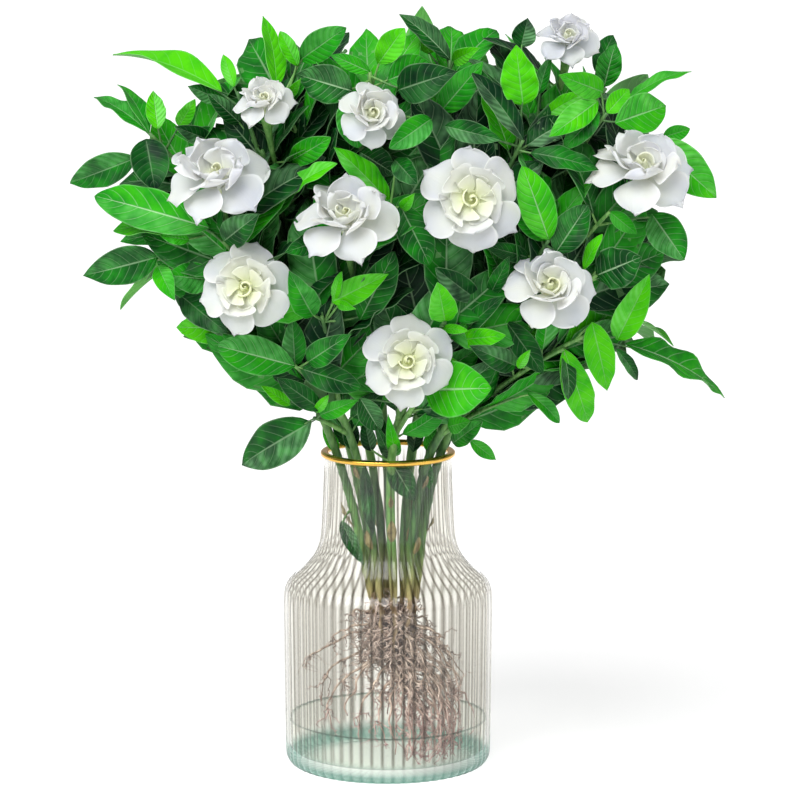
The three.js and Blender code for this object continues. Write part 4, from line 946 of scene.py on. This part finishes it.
def finish_leaf():
    """Leathery green by each leaf's tone. Side veins run out from the midrib and curve to the tip, the
    blade swells between them, one half of many leaves carries a painted sheen that is brightest between the
    veins, the margin is pale, and the under side dull."""
    finish, tree, shader = start_finish("gardenia_leaf", Specular_IOR_Level=0.05, Coat_Weight=0.08,
                                        Coat_Roughness=0.22)
    flat = put(tree, "SeparateXYZ", {0: put(tree, "UVMap", uv_map="growth").outputs[0]})
    side = sums(tree, "ABSOLUTE", times(tree, sums(tree, "SUBTRACT", flat.outputs[0], 0.5), 2.0))
    along = flat.outputs[1]
    tone, veins, lot, under = (value_of(tree, name) for name in ("tone", "veins", "lot", "under"))
    curve = times(tree, sums(tree, "POWER", side, 2.0), 0.08)
    climb = sums(tree, "ADD", times(tree, side, 0.13), curve)
    phase = times(tree, sums(tree, "SUBTRACT", along, climb), 8.5)
    away = sums(tree, "PINGPONG", phase, 0.5)
    vein = times(tree, ranged(tree, away, 0.0, 0.07, 1.0, 0.0), ranged(tree, side, 0.70, 1.0, 1.0, 0.1))
    taper = ranged(tree, along, 0.0, 1.0, 1.0, 0.35)
    rib = ranged(tree, sums(tree, "DIVIDE", side, taper), 0.025, 0.085, 1.0, 0.0)
    cloud = mottle(tree, 70, 3.0)
    shade = put(tree, "ValToRGB", {0: sums(tree, "ADD", tone, ranged(tree, cloud, 0.3, 0.7, -0.16, 0.16))})
    ramp, green = shade.color_ramp, shade.outputs[0]
    ramp.elements[0].color, ramp.elements[1].color = (*LEAF_SHADES[0][1], 1), (*LEAF_SHADES[-1][1], 1)
    for place, colour in LEAF_SHADES[1:-1]:
        ramp.elements.new(place).color = (*colour, 1)
    pale = blended(tree, 0.52, green, (0.56, 0.86, 0.50, 1))
    lines = times(tree, sums(tree, "MAXIMUM", times(tree, vein, 0.55), rib), veins)
    margin = ranged(tree, side, 0.93, 1.0, 0.0, 0.35)
    # Painted sheen: on many leaves one half of the blade is blended towards a pale shining green, most
    # between the veins, in place of a glossy reflection.
    half = ranged(tree, flat.outputs[0], 0.47, 0.53)
    painted_sheen = sums(tree, "ABSOLUTE", sums(tree, "SUBTRACT", half, sums(tree, "GREATER_THAN", lot, 0.5)))
    sheen_strength = ranged(tree, sums(tree, "PINGPONG", times(tree, lot, 6.7), 0.5), 0.08, 0.45, 0.0, 0.75)
    painted_sheen = times(tree, times(tree, painted_sheen, sheen_strength), ranged(tree, cloud, 0.38, 0.62, 0.25, 1.0))
    painted_sheen = times(tree, painted_sheen, sums(tree, "POWER", times(tree, away, 2.0), 0.6))
    sheen_colour = blended(tree, 0.34, green, (0.46, 0.88, 0.46, 1))
    upper = blended(tree, sums(tree, "MAXIMUM", lines, margin), blended(tree, painted_sheen, green, sheen_colour), pale)
    lower = blended(tree, 0.45, upper, (0.20, 0.42, 0.16, 1))
    rough = ranged(tree, sums(tree, "ADD", cloud, times(tree, lot, 0.3)), 0.3, 1.0, 0.30, 0.48)
    swell = sums(tree, "SUBTRACT", sums(tree, "POWER", times(tree, away, 2.0), 0.5), rib)
    swell = times(tree, swell, ranged(tree, veins, 0.0, 1.0, 0.25, 1.0))
    dress(tree, shader, blended(tree, under, upper, lower), sums(tree, "ADD", rough, times(tree, under, 0.2)),
          swell, 0.6, 0.0014)
    return finish


wood_finish, leaf_finish = finish_wood(), finish_leaf()
for s, stem in enumerate(stems):
    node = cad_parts["leafy_stem_" + stem["name"]].data
    corners = np.zeros(len(node.vertices) * 3, np.float32)
    node.vertices.foreach_get("co", corners)
    corners = corners.reshape(-1, 3) * 1000.0
    leaves = []
    for spray in stem["sprays"]:
        if "leaves" in spray:
            rows = spray["leaves"]
            sets = [[seen_leaf(*row[:5], spray["under"], *shift, n) for shift in SHIFTS]
                    for n, row in enumerate(rows)]
            looks = [(row[5], row[6]) for row in rows]
        else:
            number = spray["number"]
            sets = [[back_leaf(spray["end"], spray["bearing"], k, number, trial)
                     for trial in range(BACK_TRIALS)] for k in range(BACK_LEAVES)]
            looks = [((0.18 + 0.37 * (3 * number + 2 * k)) % 1, 0.5) for k in range(BACK_LEAVES)]
        for n, (trials, (tone, veins)) in enumerate(zip(sets, looks)):
            for leaf in trials:
                leaf.update(root=nearest_on_twig(spray["curve"], leaf["base"], n), tone=tone, veins=veins)
            leaves.append(place_taken(corners, trials))
    for b, controls in enumerate(stem["branches"]):
        if (s + b) % 3 != 0:
            taken = place_taken(corners, inner_leaves(controls, s + 3 * b))
            # Leaves on the branches inside the bush get dark tones, partly the colour of older leaves and
            # partly painted shade.
            if taken:
                taken.update(tone=0.1 + 0.2 * ((s + b) % 2), veins=0.4)
            leaves.append(taken)
    for cane, under, *row in EXTRA_LEAVES:
        if cane == stem["name"]:
            leaf = seen_leaf(*row[:5], under, 0, 0, 0)
            roots = [nearest_on_twig(controls, leaf["base"], 0) for controls in stem["branches"]]
            nearest = min(roots, key=lambda root: np.linalg.norm(root - leaf["base"]))
            leaf.update(root=nearest, tone=row[5], veins=row[6])
            leaves.append(leaf)
    for cane, *place, tone, veins in NECK_LEAVES:
        if cane == stem["name"]:
            leaf = neck_leaf(*place)
            on_cane = bent(stem["cane"][None], np.linspace(0.3, 0.8, 30))[0]
            before = leaf["base"] - 6 * unit(leaf["tip"] - leaf["base"])
            nearest = on_cane[np.argmin(np.linalg.norm(on_cane - before, axis=1))]
            leaf.update(root=nearest, tone=tone, veins=veins)
            leaves.append(leaf)
    stem["leaves"] = [leaf for leaf in leaves if leaf]

leaf_middles = [0.5 * (leaf["base"] + leaf["tip"]) for stem in stems for leaf in stem["leaves"]]


def roomiest_leaf(controls, share, scale):
    """Of some random leaves near a share of a branch, the one with the most room round its middle, or none
    where no leaf fits."""
    best, best_space = None, FILLING_SPACE
    for _ in range(FILLING_TRIES):
        at, turn = share + seeded.uniform(-0.06, 0.06), seeded.uniform(0, 6.3)
        lean, long = seeded.uniform(0.6, 1.3), seeded.uniform(50, 80) * scale
        leaf = filling_leaf(controls, at, turn, lean, long)
        line = leaf["base"] + LINE_SHARES * (leaf["tip"] - leaf["base"])
        space = np.linalg.norm(np.array(leaf_middles) - line[1:3].mean(0), axis=1).min()
        if space > best_space and in_the_bush(line):
            best, best_space = leaf, space
    return best


for count, scale in FILLING_ROUNDS:
    for stem in stems:
        for controls, to_bloom in zip(stem["branches"], stem["arrivals"]):
            for share in BLOOM_JOINTS if to_bloom else SPRAY_JOINTS:
                for _ in range(count):
                    leaf = roomiest_leaf(controls, share, scale)
                    if leaf:
                        middle = 0.5 * (leaf["base"] + leaf["tip"])
                        # A leaf deeper inside the bush's oval gets a darker tone, partly the colour of older
                        # leaves and partly painted shade.
                        inside = max(0, 1 - float(oval(middle, BUSH_MIDDLE, BUSH_HALF)))
                        tone = seeded.normal(0.44, 0.23) - 0.5 * inside
                        leaf.update(tone=float(np.clip(tone, 0, 0.9)), veins=0.6, grid=FILLING_GRID)
                        stem["leaves"].append(leaf)
                        leaf_middles.append(middle)
for stem in stems:
    for share in CANE_JOINTS:
        leaf = filling_leaf(stem["cane"], share, seeded.uniform(0, 6.3), seeded.uniform(0.5, 1.1),
                            seeded.uniform(34, 56))
        line = leaf["base"] + np.array([[0.0], [0.5], [1.0]]) * (leaf["tip"] - leaf["base"])
        away = np.linalg.norm(line[:, :2], axis=1)
        if np.all(away < 50 + 0.9 * (line[:, 2] - 240)) and line[:, 2].min() > CLEAR_OF_VASE + 1:
            leaf.update(tone=float(np.clip(seeded.normal(0.4, 0.25), 0, 1)), veins=0.5, grid=FILLING_GRID)
            stem["leaves"].append(leaf)

for s, stem in enumerate(stems):
    for bloom in stem["blooms"]:
        facing, radius = bloom["facing"], bloom["radius"]
        side, above = square_pair(facing)
        for k in range(SEPALS):
            turn = k * math.pi / 3
            away = side * math.cos(turn) + above * math.sin(turn)
            base = cup_point(bloom) + 3.2 * away - 1.5 * facing
            tip = base + facing * 0.34 * radius + away * 0.16 * radius
            stem["leaves"].append({"root": base, "base": base, "tip": tip, "width": SEPAL_WIDTH, "up": away,
                                   "tone": 0.6, "veins": 0.3, "grid": (6, 3)})
    wood = cane_wood(stem) + [leaf_stalk(leaf) for leaf in stem["leaves"]
                              if np.linalg.norm(leaf["root"] - leaf["base"]) > 1]
    wood += [dry_husk(stem, share, long) for cane, share, long in HUSKS if cane == stem["name"]]
    points, faces, age = gather(wood)
    lay_piece("canes_" + stem["name"], points, faces, wood_finish, ["leafy_stem_" + stem["name"]],
              shades={"age": age})
    points, faces, growth, tone, veins, lot, under = gather(
        [leaf_blade(leaf, n + 100 * s) for n, leaf in enumerate(stem["leaves"])])
    points = np.clip(points, *(np.array(cad_box) * 1000))
    lay_piece("leaves_" + stem["name"], points, faces, leaf_finish, ["leafy_stem_" + stem["name"]],
              growth, {"tone": tone, "veins": veins, "lot": lot, "under": under})

# Each bloom is double: a greenish tube, six wide outer petals, inner petals that stand up round the folded
# yellow-green heart. The petals are waxy and white and thin at the edge, and each has its own wave. A bloom
# is open and round, ruffled with pointed petals, or still a deep cup.
PETAL_ROWS, PETAL_COLUMNS = 17, 11
HEART_ROWS, HEART_COLUMNS = 10, 17
OPEN = {"outer": 0.90, "point": 0.12, "ruffle": 0.035, "fold": 0.06, "inner": (0.80, 0.60, 0.27),
        "innermost": (0.62, 0.43, 0.28), "heart": 0.23, "glow": 0.85, "glow_reach": 0.42}
RUFFLED = {"outer": 0.90, "point": 0.14, "ruffle": 0.085, "fold": 0.07, "inner": (0.78, 0.60, 0.58),
           "innermost": (0.60, 0.33, 0.46), "heart": 0.28, "glow": 0.75, "glow_reach": 0.20}
CUPPED = {"outer": 0.92, "point": 0.07, "ruffle": 0.045, "fold": 0.10, "inner": (0.86, 0.62, 0.62),
          "innermost": (0.62, 0.36, 0.44), "heart": 0.26, "glow": 0.75, "glow_reach": 0.24}
BLOOM_FORMS = [RUFFLED, CUPPED, RUFFLED, RUFFLED, OPEN, RUFFLED, RUFFLED, CUPPED, OPEN, OPEN, OPEN, RUFFLED,
               OPEN]


def petal_sheet(bearing, foot, knee, end, width, roll, fold, ruffle, phase, point):
    """One petal in the bloom's own frame: a rib of three control points in the upright plane at its
    bearing, wide past its middle and round at the end. Its sides cup by the square of the way out, its edge
    waves, and its tip is drawn out by the point. The rows crowd towards the end, where the outline turns
    fast."""
    outward = np.array([math.sin(bearing), math.cos(bearing), 0])
    controls = np.array([outward * reach + [0, 0, height] for reach, height in (foot, knee, end)])
    v = np.sin(np.linspace(0, 1, PETAL_ROWS) * math.pi / 2) ** 1.15
    rib = bent(controls[None], v)[0]
    length = np.linalg.norm(np.diff(rib, axis=0), axis=1).sum()
    ahead = unit(np.gradient(rib, axis=0) + 1e-9)
    up = np.array([0, 0, 1]) - 0.5 * outward
    face = unit(up - ahead * (ahead @ up)[:, None])
    face = face * math.cos(roll) + np.cross(ahead, face) * math.sin(roll)
    side = np.cross(ahead, face)
    rising = np.clip(v / 0.66, 0, 1)
    closing = np.sqrt(1 - 0.99 * np.clip((v - 0.52) / 0.48, 0, 1) ** 2.4)
    form = (0.22 + 0.78 * (3 * rising ** 2 - 2 * rising ** 3)) * closing
    u = np.sin(np.linspace(-1, 1, PETAL_COLUMNS) * math.pi / 2)
    reach = 0.5 * width * form[:, None] * u
    wave = ruffle * width * v[:, None] ** 2 * (0.2 + 0.8 * u ** 2) * np.sin(3.8 * u + phase)
    quick = np.sin(9 * v[:, None] + 3.1 * u + 2 * phase)
    wave = wave + 0.9 * ruffle * width * v[:, None] ** 3 * np.abs(u) ** 1.5 * quick
    lift = fold * width * form[:, None] * u ** 2 * (1 - 0.45 * v[:, None]) + wave
    drawn = length * v[:, None] ** 5 * point * (np.exp(-((u - 0.2 * math.sin(phase)) / 0.5) ** 2) - 0.5)
    sheet = (rib[:, None] + side[:, None] * reach[..., None] + face[:, None] * lift[..., None]
             + ahead[:, None] * drawn[..., None])
    thick = 0.85 - 0.45 * np.abs(u) * np.ones((PETAL_ROWS, 1)) - 0.1 * v[:, None]
    return blade_shell(sheet, thick, u, v[:, None])


def folded_heart(radius, high, seed):
    """The heart: soft sheets wound round the axis one inside the next. At a turn and at share v of its
    height a sheet stands at a radius that grows along the turn and draws in to the top by v to the 2.4, so
    that each closes over the next one like a bud that has just opened."""
    found = []
    for n in range(4):
        u = np.linspace(-1, 1, HEART_COLUMNS)[None, :]
        v = np.linspace(0, 1, HEART_ROWS)[:, None]
        turn = 2.3 * n + seed + u * (1.5 - 0.08 * n)
        stand = radius * (0.06 + 0.036 * n)
        reach = stand * (0.72 + 0.50 * v ** 0.7 + 0.24 * u - (1.05 - 0.26 * n) * v ** 2.4)
        height = radius * (high + 0.012 * n) * v * (1 - 0.20 * u ** 2) + radius * 0.06
        sheet = np.stack([reach * np.sin(turn), reach * np.cos(turn), height + 0 * turn], -1)
        found.append(blade_shell(sheet, np.full(sheet.shape[:2], 0.9), u, v))
    return found


def bloom_parts(radius, form, seed):
    """A bloom that faces up its own axis: outer petals, two whorls of inner ones, heart and tube."""
    found = []
    for k in range(6):
        uneven = math.sin(seed * 7 + k * 2.4)
        bearing = math.radians(60 * k + 4 * uneven)
        end = (radius * (0.97 + 0.03 * uneven), radius * (-0.12 + 0.03 * uneven))
        width = radius * form["outer"] * (1 + 0.08 * math.sin(3.3 * k + seed))
        point = form["point"] * (1 + 0.4 * uneven)
        found.append(petal_sheet(bearing, (0.19 * radius, 0), (0.55 * radius, 0.22 * radius), end, width,
                                 0.24, form["fold"], form["ruffle"], 1.7 * k + seed, point))
    wide, out, high = form["inner"]
    for k in range(5):
        uneven = math.sin(seed * 5 + k * 3.1)
        bearing = math.radians(72 * k + 30 + 5 * uneven)
        end = (radius * (out + 0.04 * uneven), radius * (high + 0.04 * uneven))
        found.append(petal_sheet(bearing, (0.18 * radius, 0.13 * radius), (0.48 * radius, 0.20 * radius), end,
                                 wide * radius, 0.26, 0.12, 1.2 * form["ruffle"], 2.3 * k + seed,
                                 form["point"]))
    wide, out, high = form["innermost"]
    for k in range(5):
        uneven = math.sin(seed * 3 + k * 1.9)
        bearing = math.radians(72 * k + 64 + 9 * uneven)
        end = (radius * (out + 0.03 * uneven), radius * (high + 0.03 * uneven))
        found.append(petal_sheet(bearing, (0.12 * radius, 0.14 * radius), (0.30 * radius, 0.20 * radius), end,
                                 wide * radius, 0.24, 0.20, 1.2 * form["ruffle"], 1.9 * k + seed, 0.05))
    found += folded_heart(radius, form["heart"], seed)
    tube_profile = softened(np.array([(0, -0.5), (0.07, -0.5), (0.085, -0.36), (0.12, -0.18), (0.22, -0.02),
                                      (0.24, 0.08), (0.14, 0.14), (0, 0.14)]) * radius, 1)
    tube_points, tube_faces = turned(tube_profile, 20, np.zeros(len(tube_profile)))
    return found, (tube_points, tube_faces)


def finish_petal():
    """Waxy white with fine lengthwise veins, cool in places and cream in others, and a yellow-green
    heart."""
    finish, tree, shader = start_finish("waxy_petal", Subsurface_Weight=0.45, Subsurface_Scale=0.008,
                                        Subsurface_Radius=(1.0, 0.9, 0.7), Sheen_Weight=0.06,
                                        Specular_IOR_Level=0.35)
    growth_map = put(tree, "UVMap", uv_map="growth").outputs[0]
    across = put(tree, "SeparateXYZ", {0: growth_map}).outputs[0]
    heart = value_of(tree, "heart")
    cloud = mottle(tree, 30, 2.0)
    body = blended(tree, ranged(tree, cloud, 0.36, 0.64), (0.65, 0.66, 0.71, 1), (0.72, 0.73, 0.66, 1))
    drawn_out = put(tree, "Mapping", {"Vector": growth_map, "Scale": (26, 1.6, 1)}).outputs[0]
    streak = put(tree, "TexNoise", {"Vector": drawn_out, "Scale": 1.0, "Detail": 2.0}).outputs["Fac"]
    edge = ranged(tree, sums(tree, "ABSOLUTE", sums(tree, "SUBTRACT", across, 0.5)), 0.42, 0.5)
    white = blended(tree, edge, body, (0.80, 0.81, 0.80, 1))
    dress(tree, shader, blended(tree, heart, white, (0.79, 0.84, 0.41, 1)),
          ranged(tree, streak, 0.3, 0.7, 0.42, 0.58), streak, 0.22, 0.0006)
    return finish


petal_finish = finish_petal()
for n, (bloom, form) in enumerate(zip(blooms, BLOOM_FORMS)):
    radius = bloom["radius"]
    sheets, (tube_points, tube_faces) = bloom_parts(radius, form, n)
    parts = [(points, [quads, np.zeros((0, 3), int)], growth) for points, quads, growth in sheets]
    parts.append((tube_points, tube_faces, np.full((len(tube_points), 2), 0.5)))
    points, faces, growth = gather(parts)
    reach = np.linalg.norm(points[:, :2], axis=1) / radius
    glow = form["glow"] * np.exp(-((reach / form["glow_reach"]) ** 2))
    throat = np.clip(-points[:, 2] / (0.3 * radius) - 0.3, 0, 1) * (reach < 0.2)
    side, upward = square_pair(bloom["facing"])
    spin = -math.radians(bloom["spin"])
    across = side * math.cos(spin) + upward * math.sin(spin)
    along = upward * math.cos(spin) - side * math.sin(spin)
    points = points @ np.array([across, along, bloom["facing"]])
    room = np.array(cad_box) * 1000 - bloom["middle"]
    taken_up = np.array([points.min(0), points.max(0)])
    points = points * min(1, (room / taken_up).min()) + bloom["middle"]
    name = f"bloom_{n + 1:02d}"
    lay_piece("double_" + name, points, faces, petal_finish, [name], growth,
              {"heart": np.clip(glow + 0.7 * throat, 0, 1)})

# The part stands on a plain pale floor under a wide soft sun and two large soft lights.
floor_mesh = bpy.data.meshes.new("studio_floor")
floor_mesh.from_pydata([(-30, -30, 0), (30, -30, 0), (30, 30, 0), (-30, 30, 0)], [], [(0, 1, 2, 3)])
floor = bpy.data.objects.new("studio_floor", floor_mesh)
bpy.context.scene.collection.objects.link(floor)
floor_finish, tree, shader = start_finish("pale_floor", Roughness=0.8, Specular_IOR_Level=0.1,
                                          Emission_Strength=0.62, Emission_Color=(1, 1, 1, 1))
grey = blended(tree, mottle(tree, 3.0), (0.48, 0.48, 0.48, 1), (0.50, 0.50, 0.50, 1))
tree.links.new(grey, shader.inputs["Base Color"])
floor_mesh.materials.append(floor_finish)

world = bpy.data.worlds.new("soft_studio")
world.use_nodes = True
world.node_tree.nodes["Background"].inputs["Color"].default_value = (0.99, 0.99, 1.0, 1)
world.node_tree.nodes["Background"].inputs["Strength"].default_value = 0.36
bpy.context.scene.world = world


def hang_light(name, kind, energy, place, towards, size):
    """A soft light at a place, aimed at a point, both in metres. Size is its width, or a sun's spread."""
    light = bpy.data.lights.new(name, kind)
    light.energy = energy
    if kind == "SUN":
        light.angle = size
    else:
        light.size = size
    held = bpy.data.objects.new(name, light)
    aim = unit(np.array(towards, float) - place)
    held.location = place
    held.rotation_euler = (math.pi / 2 + math.asin(aim[2]), 0, math.atan2(-aim[0], aim[1]))
    bpy.context.scene.collection.objects.link(held)


hang_light("window_sun", "SUN", 2.85, (-0.7, -1.5, 2.5), (0, 0, 0.3), math.radians(50))
hang_light("left_panel", "AREA", 11, (-1.6, -1.4, 1.3), (0, 0, 0.35), 1.2)
hang_light("right_panel", "AREA", 4, (1.7, -0.8, 0.9), (0, 0, 0.35), 1.0)

SENSOR_WIDTH = 36
camera = bpy.data.cameras.new("viewpoint")
camera.sensor_width = SENSOR_WIDTH
camera.lens = VIEW_FOCAL / (2 * VIEW_MIDDLE) * SENSOR_WIDTH
holder = bpy.data.objects.new("viewpoint", camera)
holder.location = (VIEW_X * 0.001, -VIEW_DISTANCE * 0.001, VIEW_HEIGHT * 0.001)
holder.rotation_euler = (math.pi / 2 - VIEW_PITCH, 0, 0)
bpy.context.scene.collection.objects.link(holder)
bpy.context.scene.camera = holder
bpy.context.scene.view_settings.view_transform = "Standard"
